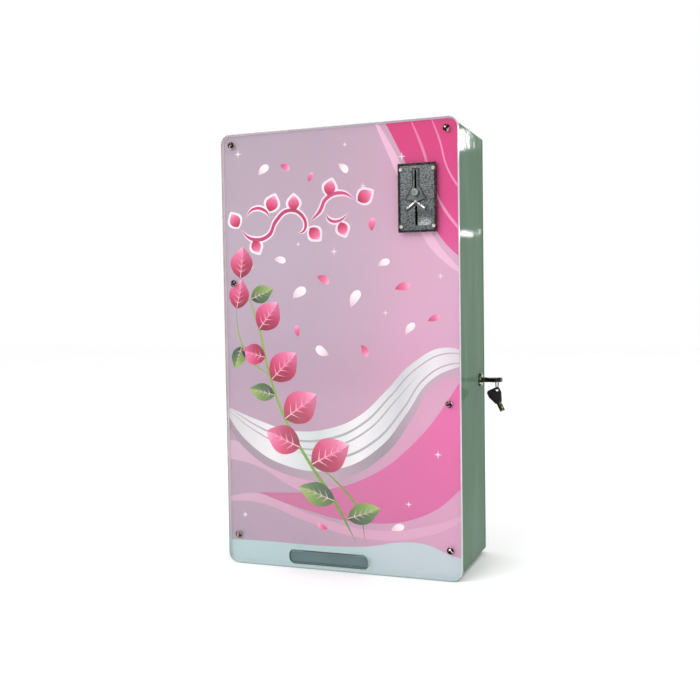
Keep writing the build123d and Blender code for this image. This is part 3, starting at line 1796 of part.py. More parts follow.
save(make_pinion(), "drive_pinion")
save(make_output_shaft(), "output_shaft")
save(make_gear_motor(), "gear_motor")
save(make_motor_screws(), "motor_screws")
save(make_motor_bracket(), "motor_bracket")
save(make_home_switch(), "home_switch")
save(make_chute(), "delivery_chute")
save(make_coin_box(), "coin_box")
save(make_box_shelf(), "coin_box_shelf")
save(make_board(), "control_board")
save(make_board_spacers(), "board_spacers")
save(make_board_screws(), "board_screws")
save(make_board_components(), "board_components")
save(make_battery_holder(), "battery_holder")
save(make_cells(), "battery_cells")
save(make_inner_rivets(), "inner_rivets")
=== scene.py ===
import math

import bmesh
import bpy
from mathutils import Matrix, Vector


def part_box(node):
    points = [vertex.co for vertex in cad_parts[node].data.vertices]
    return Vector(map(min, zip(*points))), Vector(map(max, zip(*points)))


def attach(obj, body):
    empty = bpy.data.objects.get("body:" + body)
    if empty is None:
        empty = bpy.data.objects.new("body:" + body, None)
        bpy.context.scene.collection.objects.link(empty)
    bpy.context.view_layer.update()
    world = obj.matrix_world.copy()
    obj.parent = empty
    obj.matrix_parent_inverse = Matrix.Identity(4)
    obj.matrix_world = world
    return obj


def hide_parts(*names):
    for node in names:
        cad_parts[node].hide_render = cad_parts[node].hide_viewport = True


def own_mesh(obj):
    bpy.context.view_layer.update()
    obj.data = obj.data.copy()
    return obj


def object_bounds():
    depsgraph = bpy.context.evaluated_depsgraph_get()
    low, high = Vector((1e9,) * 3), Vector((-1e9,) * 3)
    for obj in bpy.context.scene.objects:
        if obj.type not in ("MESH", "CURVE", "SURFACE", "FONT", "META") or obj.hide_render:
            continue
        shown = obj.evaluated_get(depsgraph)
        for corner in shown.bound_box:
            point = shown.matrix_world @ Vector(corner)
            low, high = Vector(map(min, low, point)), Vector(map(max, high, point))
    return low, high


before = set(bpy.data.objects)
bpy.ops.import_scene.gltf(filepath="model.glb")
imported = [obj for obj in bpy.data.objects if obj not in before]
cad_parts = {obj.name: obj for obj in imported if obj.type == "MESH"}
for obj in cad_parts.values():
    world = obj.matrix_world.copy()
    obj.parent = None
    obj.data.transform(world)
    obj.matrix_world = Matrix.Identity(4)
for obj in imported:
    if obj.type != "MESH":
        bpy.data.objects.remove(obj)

cad_low, cad_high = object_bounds()
mm = 0.001

# Viewpoint. The photographer stood to the right of the cabinet and a little above its middle,
# about a metre and a half away, with a normal lens and the camera hardly tilted.
camera_place = Vector((475.6, -1379.9, 61.5)) * mm
camera_yaw = math.radians(20.63)
camera_pitch = math.radians(-2.66)
camera_roll = math.radians(-0.85)
level_share = math.cos(camera_pitch)
forward = Vector(
    (-math.sin(camera_yaw) * level_share, math.cos(camera_yaw) * level_share, math.sin(camera_pitch))
)
level_right = Vector((math.cos(camera_yaw), math.sin(camera_yaw), 0))
level_up = level_right.cross(forward)
camera_right = math.cos(camera_roll) * level_right + math.sin(camera_roll) * level_up
camera_up = math.cos(camera_roll) * level_up - math.sin(camera_roll) * level_right
bpy.ops.object.camera_add()
camera = bpy.context.object
camera.name = "camera"
camera.data.sensor_width = 36
camera.data.lens = 48.24
camera_turn = Matrix((camera_right, camera_up, -forward)).transposed().to_4x4()
camera.matrix_world = Matrix.Translation(camera_place) @ camera_turn
bpy.context.scene.camera = camera
bpy.context.scene.view_settings.view_transform = "Standard"


# Studio. A pale paper floor just under the cabinet, a bright even room, a broad soft box high in
# front, another above, and two small lamps behind that show in the gloss of the side.
def paint_colour(chip):
    """A paint chip of red, green and blue, 0 to 255, in the shader's linear values."""
    return tuple(((c / 255 + 0.055) / 1.055) ** 2.4 if c > 10 else c / 255 / 12.92 for c in chip)


def feed(finish, socket, value):
    """A socket takes another node's output, a paint chip or a plain number."""
    if isinstance(value, bpy.types.NodeSocket):
        finish.node_tree.links.new(value, socket)
    elif isinstance(value, tuple):
        socket.default_value = (*paint_colour(value), 1)
    else:
        socket.default_value = value


def new_node(finish, kind, **values):
    """One more texture node; an underscore in a name stands for a space."""
    node = finish.node_tree.nodes.new("ShaderNode" + kind)
    for name, value in values.items():
        feed(finish, node.inputs[name.replace("_", " ")], value)
    return node


def set_shader(finish, **values):
    """Values on the finish's own shader, named in the same way."""
    for name, value in values.items():
        feed(finish, finish.node_tree.nodes["Principled BSDF"].inputs[name.replace("_", " ")], value)


def new_finish(name, chip, roughness, metal=0.0):
    """A surface finish with plain values on its shader; the calls below add texture to it."""
    finish = bpy.data.materials.new(name)
    finish.use_nodes = True
    set_shader(finish, Base_Color=chip, Roughness=roughness, Metallic=metal)
    return finish


def object_place(finish, stretch=(1, 1, 1)):
    """Places on the piece itself, in metres, so that a pattern stays put on it."""
    mapping = new_node(finish, "Mapping", Vector=new_node(finish, "TexCoord").outputs["Object"])
    mapping.inputs["Scale"].default_value = stretch
    return mapping.outputs["Vector"]


def cloudy(finish, scale, detail=3.0, stretch=(1, 1, 1)):
    """Soft noise; a large stretch along an axis draws it out into brushed lines across that axis."""
    place = object_place(finish, stretch)
    return new_node(finish, "TexNoise", Vector=place, Scale=scale, Detail=detail).outputs["Fac"]


def colours_by(finish, value, stops):
    """Colours picked along a texture's value, as (value, paint chip) stops."""
    ramp = new_node(finish, "ValToRGB", Fac=value)
    elements = ramp.color_ramp.elements
    while len(elements) < len(stops):
        elements.new(0.5)
    for element, (place, chip) in zip(elements, stops):
        element.position = place
        element.color = (*paint_colour(chip), 1)
    return ramp.outputs["Color"]


def drop_selection():
    """Nothing stays selected, so that the next operator acts on the new piece alone."""
    bpy.ops.object.select_all(action="DESELECT")


def settle():
    """The selected piece's place, turn and size go into its mesh, so that it stands at the origin."""
    bpy.ops.object.transform_apply(location=True, rotation=True, scale=True)


floor_finish = new_finish("floor_paper", (253, 253, 253), 0.6)
floor_whites = [(0.3, (252, 252, 252)), (0.7, (254, 254, 254))]
set_shader(floor_finish, Base_Color=colours_by(floor_finish, cloudy(floor_finish, 3), floor_whites))
gap_to_floor = 1 * mm
drop_selection()
bpy.ops.mesh.primitive_plane_add(size=14, location=(0, 0, cad_low[2] - gap_to_floor))
floor = bpy.context.object
floor.name = "floor"
settle()
floor.data.materials.append(floor_finish)

room = bpy.data.worlds.new("room")
room.use_nodes = True
bpy.context.scene.world = room
white_air = room.node_tree.nodes["Background"]
white_air.inputs["Color"].default_value = (1, 1, 1, 1)
white_air.inputs["Strength"].default_value = 1


def soft_box(name, place, aim, width, height, power):
    """A soft rectangular lamp that the camera doesn't see."""
    place = Vector(place)
    bpy.ops.object.light_add(type="AREA", location=place)
    lamp = bpy.context.object
    lamp.name = name
    lamp.data.shape = "RECTANGLE"
    lamp.data.size = width
    lamp.data.size_y = height
    lamp.data.energy = power
    lamp.rotation_euler = (Vector(aim) - place).to_track_quat("-Z", "Y").to_euler()
    lamp.visible_camera = False


soft_box("front_box", (-0.9, -2.4, 1.5), (0, 0, 0), 1.8, 1.4, 41)
soft_box("top_box", (0.2, 0.3, 2.4), (0, 0, 0), 1.8, 1.8, 10)
soft_box("rear_lamp_high", (0.83, 2.5, 0.752), (0.17, -0.13, 0.27), 0.05, 0.08, 0.8)
soft_box("rear_lamp_low", (0.805, 2.5, 0.36), (0.17, -0.13, 0.16), 0.06, 0.02, 0.14)


# Wall tray. Folded sheet steel in a satin grey-green primer, screwed to the wall through four holes;
# the cover closes over its rim.
def spread(finish, value, low, high, to_low=0, to_high=1):
    """Stretches a texture's range from low..high to to_low..to_high, and holds it there."""
    limits = {"From_Min": low, "From_Max": high, "To_Min": to_low, "To_Max": to_high}
    return new_node(finish, "MapRange", Value=value, **limits).outputs["Result"]


def uneven_gloss(finish, value, low, high):
    """Roughness that wanders between two values."""
    set_shader(finish, Roughness=spread(finish, value, 0.3, 0.7, low, high))


def raised(finish, value, height, strength=1.0):
    """Fine relief; a second call adds its relief on top of the first."""
    shader = finish.node_tree.nodes["Principled BSDF"]
    bump = new_node(finish, "Bump", Distance=height, Strength=strength, Height=value)
    if shader.inputs["Normal"].links:
        feed(finish, bump.inputs["Normal"], shader.inputs["Normal"].links[0].from_socket)
    set_shader(finish, Normal=bump.outputs["Normal"])


def worked_finish(name, chip, roughness, metal, clouds, stops, gloss=None, relief=None):
    """A finish whose colour wanders, and where given its gloss (noise, low, high) and its relief
    (noise, height in millimetres, strength). A noise is a scale, a detail and perhaps a stretch."""
    finish = new_finish(name, chip, roughness, metal)
    set_shader(finish, Base_Color=colours_by(finish, cloudy(finish, *clouds), stops))
    if gloss:
        uneven_gloss(finish, cloudy(finish, *gloss[0]), *gloss[1:])
    if relief:
        raised(finish, cloudy(finish, *relief[0]), relief[1] * mm, relief[2])
    return finish


def dress(finish, *nodes):
    """CAD nodes keep their shape and take this finish."""
    for node in nodes:
        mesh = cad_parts[node].data
        mesh.materials.clear()
        mesh.materials.append(finish)


tray_paint = worked_finish(
    "tray_paint", (120, 132, 124), 0.5, 0.0, (14, 3), [(0.25, (112, 124, 116)), (0.75, (128, 139, 131))],
    gloss=((60, 3), 0.42, 0.6), relief=((1400, 2), 0.05, 0.5),
)
dress(tray_paint, "base_plate")


# Hinge and catch. Two rolled strips and their pin down the left side, and the catch for the lock's
# cam, all in steel with a bright zinc plating; the same plating is on the other plain inner parts.
def pebbled(finish, scale, feature="F1"):
    """Rounded cells, for cast skin and zinc flowers."""
    cells = new_node(finish, "TexVoronoi", Vector=object_place(finish), Scale=scale)
    cells.feature = feature
    return cells.outputs["Distance"]


def blend_colours(finish, share, first, second, way="MIX"):
    """Two colours mixed by a texture or by a fixed share."""
    mix = new_node(finish, "MixRGB", Fac=share, Color1=first, Color2=second)
    mix.blend_type = way
    return mix.outputs["Color"]


zinc = new_finish("zinc_plating", (186, 188, 190), 0.35, 1.0)
zinc_clouds = cloudy(zinc, 30, 4)
zinc_flowers = colours_by(zinc, pebbled(zinc, 90), [(0.1, (176, 179, 182)), (0.7, (206, 208, 210))])
zinc_haze = colours_by(zinc, zinc_clouds, [(0.3, (160, 163, 166)), (0.7, (205, 207, 208))])
set_shader(zinc, Base_Color=blend_colours(zinc, 0.45, zinc_flowers, zinc_haze))
uneven_gloss(zinc, zinc_clouds, 0.26, 0.46)
raised(zinc, cloudy(zinc, 700, 2), 0.03 * mm, 0.4)
dress(zinc, "hinge_leaf_base", "hinge_leaf_cover", "hinge_pin", "lock_catch")


# Cover. Sheet steel bent round the four sides with a front plate welded in, under a thick glossy
# grey-green powder coat with a slight orange-peel skin. The paint is darker along the rear edge.
def place_along(finish, axis):
    """The place on the piece along X, Y or Z, in metres."""
    return new_node(finish, "SeparateXYZ", Vector=object_place(finish)).outputs[axis]


def worked_out(finish, way, first, second=0.0):
    """One value from two: MULTIPLY is where both hold, MAXIMUM where either does."""
    sum_node = new_node(finish, "Math")
    sum_node.operation = way
    feed(finish, sum_node.inputs[0], first)
    feed(finish, sum_node.inputs[1], second)
    return sum_node.outputs[0]


cover_paint = new_finish("cover_paint", (97, 122, 103), 0.2)
set_shader(cover_paint, Specular_IOR_Level=0.0, Coat_Weight=0.15, Coat_Roughness=0.06)
cover_greens = [(0.3, (87, 113, 92)), (0.55, (95, 120, 101)), (0.75, (109, 130, 112))]
cover_colour = colours_by(cover_paint, cloudy(cover_paint, 16, 4, (1, 1, 0.22)), cover_greens)
cover_depth, cover_height = place_along(cover_paint, "Y"), place_along(cover_paint, "Z")
# Lighter towards the foot: a painted reflection of the pale floor in the gloss.
foot_painted_reflection = spread(cover_paint, cover_height, -170 * mm, -300 * mm, 0, 0.3)
cover_colour = blend_colours(cover_paint, foot_painted_reflection, cover_colour, (126, 152, 134))
rear_edge = spread(cover_paint, cover_depth, -9 * mm, -4.5 * mm, 0, 0.55)
cover_colour = blend_colours(cover_paint, rear_edge, cover_colour, (48, 68, 55))
plate_front, slot_sill, soft_line = -162 * mm, -303 * mm, 0.2 * mm
front_rim = spread(cover_paint, cover_depth, plate_front + soft_line, plate_front - soft_line)
foot_rim = spread(cover_paint, cover_height, slot_sill + soft_line, slot_sill - soft_line)
slot_rim = worked_out(cover_paint, "MULTIPLY", front_rim, foot_rim)
set_shader(cover_paint, Base_Color=blend_colours(cover_paint, slot_rim, cover_colour, (80, 102, 104)))
uneven_gloss(cover_paint, cloudy(cover_paint, 40), 0.12, 0.3)
raised(cover_paint, cloudy(cover_paint, 420, 1), 0.06 * mm, 0.35)
raised(cover_paint, cloudy(cover_paint, 28, 2), 0.2 * mm, 1.0)
skin = cover_paint.node_tree.nodes["Principled BSDF"].inputs["Normal"].links[0].from_socket
set_shader(cover_paint, Coat_Normal=skin)
dress(cover_paint, "cover_wrap")
plate_paint = new_finish("plate_paint", (103, 129, 109), 0.3)
near_slot = spread(plate_paint, place_along(plate_paint, "Z"), -281 * mm, -280 * mm, 1, 0)
before_back = spread(plate_paint, place_along(plate_paint, "Y"), -161.42 * mm, -161.5 * mm)
round_the_slot = worked_out(plate_paint, "MULTIPLY", near_slot, before_back)
plate_green = colours_by(
    plate_paint, cloudy(plate_paint, 16, 4), [(0.3, (96, 122, 102)), (0.7, (112, 135, 116))],
)
plate_grey = colours_by(
    plate_paint, cloudy(plate_paint, 26, 4), [(0.3, (76, 98, 100)), (0.7, (84, 106, 108))],
)
set_shader(plate_paint, Base_Color=blend_colours(plate_paint, round_the_slot, plate_green, plate_grey))
uneven_gloss(plate_paint, cloudy(plate_paint, 90), 0.26, 0.4)
raised(plate_paint, cloudy(plate_paint, 420, 1), 0.06 * mm, 0.35)
dress(plate_paint, "cover_front_plate")


# Printed sheet behind the panel. Coated paper in soft pinks, held between panel and front plate. Its
# picture is a plain decorative one: a silk ribbon, leaf stems, a scroll, loose petals and a foot band.
def take_up(piece):
    """This piece alone is selected and active."""
    drop_selection()
    piece.select_set(True)
    bpy.context.view_layer.objects.active = piece


def block(name, low, high):
    """A block between two corners, as the start of a piece or of a cutter."""
    low, high = Vector(low), Vector(high)
    drop_selection()
    bpy.ops.mesh.primitive_cube_add(size=1, location=(low + high) / 2, scale=high - low)
    piece = bpy.context.object
    piece.name = name
    settle()
    return piece


def pick(piece, kind, wanted):
    """Edit mode, with only the edges or the faces selected that pass the test."""
    take_up(piece)
    bpy.ops.object.mode_set(mode="EDIT")
    bpy.ops.mesh.select_mode(type=kind)
    bpy.ops.mesh.select_all(action="DESELECT")
    mesh = bmesh.from_edit_mesh(piece.data)
    for item in mesh.edges if kind == "EDGE" else mesh.faces:
        item.select_set(bool(wanted(item)))
    bmesh.update_edit_mesh(piece.data)


def round_edges(piece, wanted, width, steps):
    """Rounds the edges that pass the test."""
    pick(piece, "EDGE", wanted)
    bpy.ops.mesh.bevel(offset=width, segments=steps)
    bpy.ops.object.mode_set(mode="OBJECT")


def along(edge, axis):
    """True for an edge that runs along one axis, 0 for X, 1 for Y, 2 for Z."""
    line = edge.verts[1].co - edge.verts[0].co
    return abs(line[axis]) > 0.999 * line.length


def shape_with(piece, tool, way):
    """Cuts with a tool piece, which is used up: DIFFERENCE takes it away, INTERSECT keeps what is in it."""
    take_up(piece)
    cutter = piece.modifiers.new("cutter", "BOOLEAN")
    cutter.object = tool
    cutter.operation = way
    bpy.ops.object.modifier_apply(modifier="cutter")
    bpy.data.objects.remove(tool)


def rod_tool(x, z, radius, y_front, y_back, sides=40):
    """A round bar along Y."""
    drop_selection()
    bpy.ops.mesh.primitive_cylinder_add(
        vertices=sides, radius=radius, depth=y_back - y_front,
        location=(x, (y_front + y_back) / 2, z), rotation=(math.pi / 2, 0, 0),
    )
    settle()
    return bpy.context.object


panel_low, panel_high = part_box("acrylic_panel")
print_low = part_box("print_sheet")[0]
coin_low, coin_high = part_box("coin_face_plate")
panel_back = print_low.y - 0.45 * mm
panel_radius = 14 * mm
slot_low, slot_high = Vector((-80.5, 0, -306)) * mm, Vector((41.5, 0, -284.4)) * mm
slot_radius = 8.5 * mm
screw_hole_radius = 2.25 * mm
coin_middle = (coin_low + coin_high) / 2
neck_half_width = 17.3 * mm
neck_half_height = 39.3 * mm
screw_places = [(-159, 294.6), (159, 294.6), (-159, 97), (159, -71), (-159, -268.7), (159, -268.7)]


def front_blank(name, y_front, y_back):
    """A sheet with the panel's outline and all its cut-outs."""
    sheet = block(name, (panel_low.x, y_front, panel_low.z), (panel_high.x, y_back, panel_high.z))
    round_edges(sheet, lambda edge: along(edge, 1), panel_radius, 12)
    reach = 4 * mm
    front, back = y_front - reach, y_back + reach
    slot = block("slot_tool", (slot_low.x, front, slot_low.z), (slot_high.x, back, slot_high.z))
    round_edges(slot, lambda edge: along(edge, 1), slot_radius, 8)
    shape_with(sheet, slot, "DIFFERENCE")
    neck = block(
        "neck_tool",
        (coin_middle.x - neck_half_width, front, coin_middle.z - neck_half_height),
        (coin_middle.x + neck_half_width, back, coin_middle.z + neck_half_height),
    )
    shape_with(sheet, neck, "DIFFERENCE")
    for x, z in screw_places:
        shape_with(sheet, rod_tool(x * mm, z * mm, screw_hole_radius, front, back), "DIFFERENCE")
    return sheet


ink_sink = 0.05 * mm
ink_step = 0.035 * mm


def ink_shade(finish, stops, start, end):
    """Ink that shades along a line between two (x, z) places in millimetres."""
    line = Vector((end[0] - start[0], 0, end[1] - start[1])) * mm
    measure = new_node(finish, "VectorMath")
    measure.operation = "DOT_PRODUCT"
    measure.inputs[1].default_value = line / line.length_squared
    feed(finish, measure.inputs[0], object_place(finish))
    offset = Vector((start[0], 0, start[1])).dot(line) * mm / line.length_squared
    share = spread(finish, measure.outputs["Value"], offset, offset + 1)
    return colours_by(finish, share, stops)


def printed(finish, colour):
    """Coated paper: the colour under a fine grain, with hardly any gloss."""
    grain = colours_by(finish, cloudy(finish, 900, 1), [(0.3, (251, 251, 251)), (0.7, (255, 255, 255))])
    shaded = blend_colours(finish, 1.0, colour, grain, "MULTIPLY")
    set_shader(finish, Base_Color=shaded, Specular_IOR_Level=0.12)
    uneven_gloss(finish, cloudy(finish, 300), 0.5, 0.62)


def shaded_ink(name, stops, start, end):
    """One printed colour that shades between two places on the sheet."""
    finish = new_finish(name, stops[0][1], 0.55)
    printed(finish, ink_shade(finish, stops, start, end))
    return finish


def motif_ink(name, stops):
    """One printed colour that shades along each motif, from its foot to its tip."""
    finish = new_finish(name, stops[0][1], 0.55)
    along_motif = new_node(finish, "Attribute")
    along_motif.attribute_name = "along_motif"
    printed(finish, colours_by(finish, along_motif.outputs["Fac"], stops))
    return finish


def closed_mesh(piece, gap):
    """A curve becomes a mesh that stands at the origin, its seams closed and its faces outwards."""
    take_up(piece)
    bpy.ops.object.convert(target="MESH")
    settle()
    bpy.ops.object.mode_set(mode="EDIT")
    bpy.ops.mesh.select_all(action="SELECT")
    bpy.ops.mesh.remove_doubles(threshold=gap)
    bpy.ops.mesh.normals_make_consistent(inside=False)
    bpy.ops.object.mode_set(mode="OBJECT")
    bpy.context.object.data.materials.clear()
    return bpy.context.object


def flat_shape(name, outlines, unit, thickness):
    """Closed outlines, filled and given a thickness; their points are (x, z), or (x, z, 1) where sharp."""
    drop_selection()
    bpy.ops.curve.primitive_bezier_circle_add(radius=1)
    piece = bpy.context.object
    piece.name = name
    curve = piece.data
    curve.splines.clear()
    curve.dimensions = "2D"
    curve.fill_mode = "BOTH"
    curve.resolution_u = 8
    for outline in outlines:
        spline = curve.splines.new("BEZIER")
        spline.bezier_points.add(len(outline) - 1)
        spline.use_cyclic_u = True
        for point, (x, z, *sharp) in zip(spline.bezier_points, outline):
            point.co = (x * unit, z * unit, 0)
            point.handle_left_type = point.handle_right_type = "VECTOR" if sharp else "AUTO"
    curve.extrude = thickness / 2
    piece.rotation_euler = (math.pi / 2, 0, 0)
    piece.location = (0, -thickness / 2, 0)
    piece = closed_mesh(piece, unit / 1000)
    bpy.ops.object.shade_flat()
    return piece


def lay_ink(piece, finish):
    """A printed shape rides with the cover and takes its ink."""
    piece.data.materials.append(finish)
    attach(piece, "cover")


def ink_field(name, outlines, level, finish, trimmed=True):
    """Broad printed shapes in millimetres on the sheet, trimmed at its outline and cut-outs."""
    piece = flat_shape(name, outlines, mm, ink_sink + level * ink_step)
    take_up(piece)
    piece.location = (0, print_low.y + ink_sink, 0)
    settle()
    if trimmed:
        shape_with(piece, front_blank("sheet_tool", print_low.y - mm, print_low.y + mm), "INTERSECT")
    lay_ink(piece, finish)


def joined_copies(model, name, settings):
    """Copies of a piece, each with a place, a size and a turn round Y, joined into one; it is used up."""
    copies = []
    for place, size, turn in settings:
        copy = model.copy()
        copy.data = model.data.copy()
        bpy.context.scene.collection.objects.link(copy)
        copy.location, copy.scale, copy.rotation_euler = place, size, (0, turn, 0)
        copies.append(copy)
    drop_selection()
    for copy in copies:
        copy.select_set(True)
    bpy.context.view_layer.objects.active = copies[0]
    settle()
    bpy.ops.object.join()
    bpy.data.objects.remove(model)
    joined = bpy.context.object
    joined.name = name
    return joined


def ink_motifs(name, outlines, places, level, finish):
    """One motif, drawn once in a unit square and printed at (x, z, length, width, angle) places."""
    model = flat_shape(name, outlines, 1, 1)
    shade = model.data.attributes.new("along_motif", "FLOAT", "POINT")
    for index, vertex in enumerate(model.data.vertices):
        shade.data[index].value = vertex.co.x
    thickness = ink_sink + level * ink_step
    settings = [
        ((x * mm, print_low.y + ink_sink, z * mm), (length * mm, thickness, width * mm), -math.radians(angle))
        for x, z, length, width, angle in places
    ]
    lay_ink(joined_copies(model, name, settings), finish)


def ribbon(middle, widths, shift=0.0):
    """A band's outline along a line of (x, z) points, with a width at each, pointed at both ends."""
    left, right = [], []
    last = len(middle) - 1
    for index, ((x, z), width) in enumerate(zip(middle, widths)):
        before, after = middle[max(index - 1, 0)], middle[min(index + 1, last)]
        line = Vector((after[0] - before[0], after[1] - before[1])).normalized()
        x, z = x - line.y * shift * width, z + line.x * shift * width
        if index in (0, last):
            left.append((x, z, 1))
            continue
        left.append((x - line.y * width / 2, z + line.x * width / 2))
        right.append((x + line.y * width / 2, z - line.x * width / 2))
    return left + right[::-1]


paper = new_finish("printed_paper", (186, 162, 180), 0.55)
across = ink_shade(
    paper,
    [
        (0, (174, 162, 177)), (0.4, (184, 160, 180)), (0.62, (204, 162, 188)), (0.8, (236, 163, 202)),
        (1, (244, 168, 208)),
    ],
    (-175, 0), (165, -20),
)
upright = ink_shade(
    paper,
    [
        (0, (174, 146, 168)), (0.3, (184, 136, 162)), (0.55, (190, 164, 184)), (0.72, (190, 170, 186)),
        (0.86, (187, 160, 176)), (1, (178, 156, 171)),
    ],
    (0, -300), (0, 310),
)
printed(paper, blend_colours(paper, 0.5, across, upright))
dress(paper, "print_sheet")

corner_magenta = shaded_ink(
    "ink_corner_magenta", [(0, (212, 34, 116)), (0.5, (222, 44, 130)), (1, (228, 92, 160))],
    (120, 310), (165, 90),
)
ink_field(
    "print_corner_fan", [[(62, 330, 1), (92, 272), (118, 216), (150, 150), (200, 104, 1), (200, 330, 1)]],
    2, corner_magenta,
)
fan_pale = shaded_ink("ink_fan_pale", [(0, (236, 182, 212)), (1, (238, 190, 216))], (60, 310), (170, 70))
ink_field(
    "print_fan_border",
    [ribbon([(48, 332), (82, 266), (107, 208), (139, 142), (196, 88)], [10, 10, 9, 12, 16])], 1, fan_pale,
)
fan_rose = shaded_ink("ink_fan_rose", [(0, (232, 96, 154)), (1, (240, 150, 192))], (40, 310), (130, 170))
ink_field(
    "print_fan_lines",
    [
        ribbon([(100, 330), (126, 268), (142, 212), (176, 160), (202, 136)], [3, 3.6, 3, 3.2, 3]),
        ribbon([(128, 332), (148, 282), (160, 240), (184, 206), (204, 190)], [2, 2.6, 2.4, 2.6, 2]),
    ],
    3,
    fan_rose,
)
sweep_pink = shaded_ink(
    "ink_sweep_pink",
    [(0, (234, 90, 168)), (0.3, (222, 92, 160)), (0.6, (212, 94, 156)), (1, (196, 104, 150))],
    (170, -40), (-70, -215),
)
ink_field(
    "print_low_sweep",
    [
        [
            (210, 20, 1), (166, -52), (112, -122), (40, -176), (-44, -200), (-128, -206, 1),
            (-60, -226), (36, -240), (118, -226), (170, -188), (210, -130, 1),
        ]
    ],
    2,
    sweep_pink,
)
pale_wave = shaded_ink(
    "ink_pale_wave", [(0, (206, 172, 192)), (0.5, (208, 158, 184)), (1, (222, 166, 196))],
    (-170, -100), (120, -230),
)
ink_field(
    "print_pale_waves",
    [
        [
            (-210, -126, 1), (-132, -140), (-60, -178), (20, -196), (96, -176), (150, -128), (210, -60, 1),
            (210, -84, 1), (152, -146), (100, -192), (24, -214), (-62, -200), (-134, -166), (-210, -156, 1),
        ],
        ribbon(
            [(-210, -226), (-130, -214), (-50, -238), (40, -256), (130, -244), (210, -206)],
            [10, 13, 12, 13, 12, 10],
        ),
    ],
    1,
    pale_wave,
)
foot_band = shaded_ink(
    "ink_foot_band", [(0, (182, 206, 208)), (0.6, (186, 208, 210)), (1, (194, 208, 214))],
    (0, -310), (40, -262),
)
ink_field(
    "print_foot_band",
    [
        [
            (-210, -330, 1), (-210, -279, 1), (-120, -277), (-20, -277), (46, -272), (84, -264),
            (124, -264), (162, -277), (210, -282, 1), (210, -330, 1),
        ]
    ],
    3,
    foot_band,
)

silk_white = shaded_ink(
    "ink_silk_white",
    [
        (0, (206, 204, 208)), (0.18, (236, 232, 234)), (0.38, (204, 212, 212)), (0.55, (240, 236, 238)),
        (0.72, (206, 208, 212)), (0.86, (240, 232, 238)), (1, (214, 200, 212)),
    ],
    (-170, -60), (190, -60),
)
silk_back = shaded_ink(
    "ink_silk_back",
    [(0, (160, 140, 154)), (0.4, (184, 160, 174)), (0.7, (150, 138, 150)), (1, (200, 168, 188))],
    (-150, -110), (128, -30),
)
silk_fold = shaded_ink(
    "ink_silk_fold", [(0, (178, 164, 176)), (0.5, (166, 170, 174)), (1, (190, 172, 184))],
    (-150, -100), (120, -40),
)
silk_line = [
    (-186, -78), (-136, -116), (-76, -140), (-10, -138), (44, -112), (84, -70), (118, -30), (158, -10),
    (206, -16),
]
ink_field("print_silk_back", [ribbon(silk_line, [10, 24, 32, 36, 32, 26, 20, 20, 12], -0.7)], 4, silk_back)
ink_field("print_silk_front", [ribbon(silk_line, [14, 36, 52, 58, 52, 42, 34, 30, 18])], 5, silk_white)
ink_field(
    "print_silk_folds",
    [
        ribbon(silk_line, [0.6, 2.2, 3, 3.4, 3.2, 2.6, 1.8, 1.6, 0.6], 4.4),
        ribbon(silk_line[:-2], [0.6, 1.6, 2.2, 2.6, 2.4, 1.8, 0.6], 1.2),
        ribbon(silk_line[2:], [0.6, 3, 3.4, 3, 2.2, 1.8, 0.6], -4.4),
    ],
    6,
    silk_fold,
)

stem_green = shaded_ink(
    "ink_stem_green", [(0, (104, 146, 34)), (0.5, (134, 170, 62)), (1, (156, 182, 96))],
    (20, -280), (-140, 120),
)
ink_field(
    "print_stems",
    [
        ribbon(
            [(22, -268), (-8, -214), (-46, -160), (-84, -96), (-108, -30), (-124, 40), (-150, 104)],
            [3, 5, 4.6, 4.2, 3.6, 3, 1],
        ),
        ribbon([(36, -266), (28, -226), (0, -190), (-48, -152)], [2, 3, 2.6, 1]),
        ribbon([(-106, -36), (-134, -16), (-154, 22), (-158, 66)], [2, 2.6, 2.2, 1]),
    ],
    7,
    stem_green,
)
leaf_outline = [
    (0, 0, 1), (0.2, 0.3), (0.5, 0.42), (0.82, 0.22), (1, 0, 1), (0.82, -0.22), (0.5, -0.42), (0.2, -0.3),
]
leaf_shadow = [(0, 0, 1), (0.2, -0.3), (0.5, -0.42), (0.82, -0.22), (1, 0, 1), (0.7, -0.05), (0.35, -0.05)]
leaf_veins = [[(0.02, 0.012, 1), (0.97, 0, 1), (0.02, -0.012, 1)]]
for share in (0.2, 0.36, 0.52, 0.68):
    for side in (-1, 1):
        foot, tip = side * 0.014, side * 0.27 * (1.15 - share)
        leaf_veins.append([(share, foot, 1), (share + 0.15, tip, 1), (share + 0.025, foot, 1)])
rose_leaves = [
    (-44, -162, 66, 58, 28), (-84, -98, 62, 56, 36), (-104, -42, 56, 50, 44), (-60, -138, 58, 50, 158),
    (-122, 30, 50, 46, 52), (-112, -10, 40, 36, 166),
    (-157, 60, 44, 38, 78), (-150, 104, 46, 42, 84),
]
green_leaves = [
    (-8, -212, 58, 40, 162), (10, -236, 52, 36, 20), (-98, -64, 42, 30, 168), (-134, 74, 38, 30, 22),
    (-150, 6, 34, 26, -110),
]
rose_ink = motif_ink(
    "ink_rose_leaf",
    [(0, (150, 22, 60)), (0.3, (206, 44, 98)), (0.75, (236, 112, 160)), (1, (246, 190, 214))],
)
rose_shadow_ink = motif_ink(
    "ink_rose_leaf_shadow", [(0, (132, 14, 44)), (0.5, (182, 34, 84)), (1, (226, 112, 158))],
)
green_ink = motif_ink("ink_green_leaf", [(0, (70, 104, 44)), (0.5, (112, 150, 62)), (1, (170, 194, 110))])
green_shadow_ink = motif_ink(
    "ink_green_leaf_shadow", [(0, (40, 66, 52)), (0.6, (74, 110, 62)), (1, (120, 150, 90))],
)
vein_ink = motif_ink("ink_leaf_vein", [(0, (250, 214, 228)), (1, (240, 164, 198))])
ink_motifs("print_rose_leaves", [leaf_outline], rose_leaves, 8, rose_ink)
ink_motifs("print_rose_leaf_shadows", [leaf_shadow], rose_leaves, 9, rose_shadow_ink)
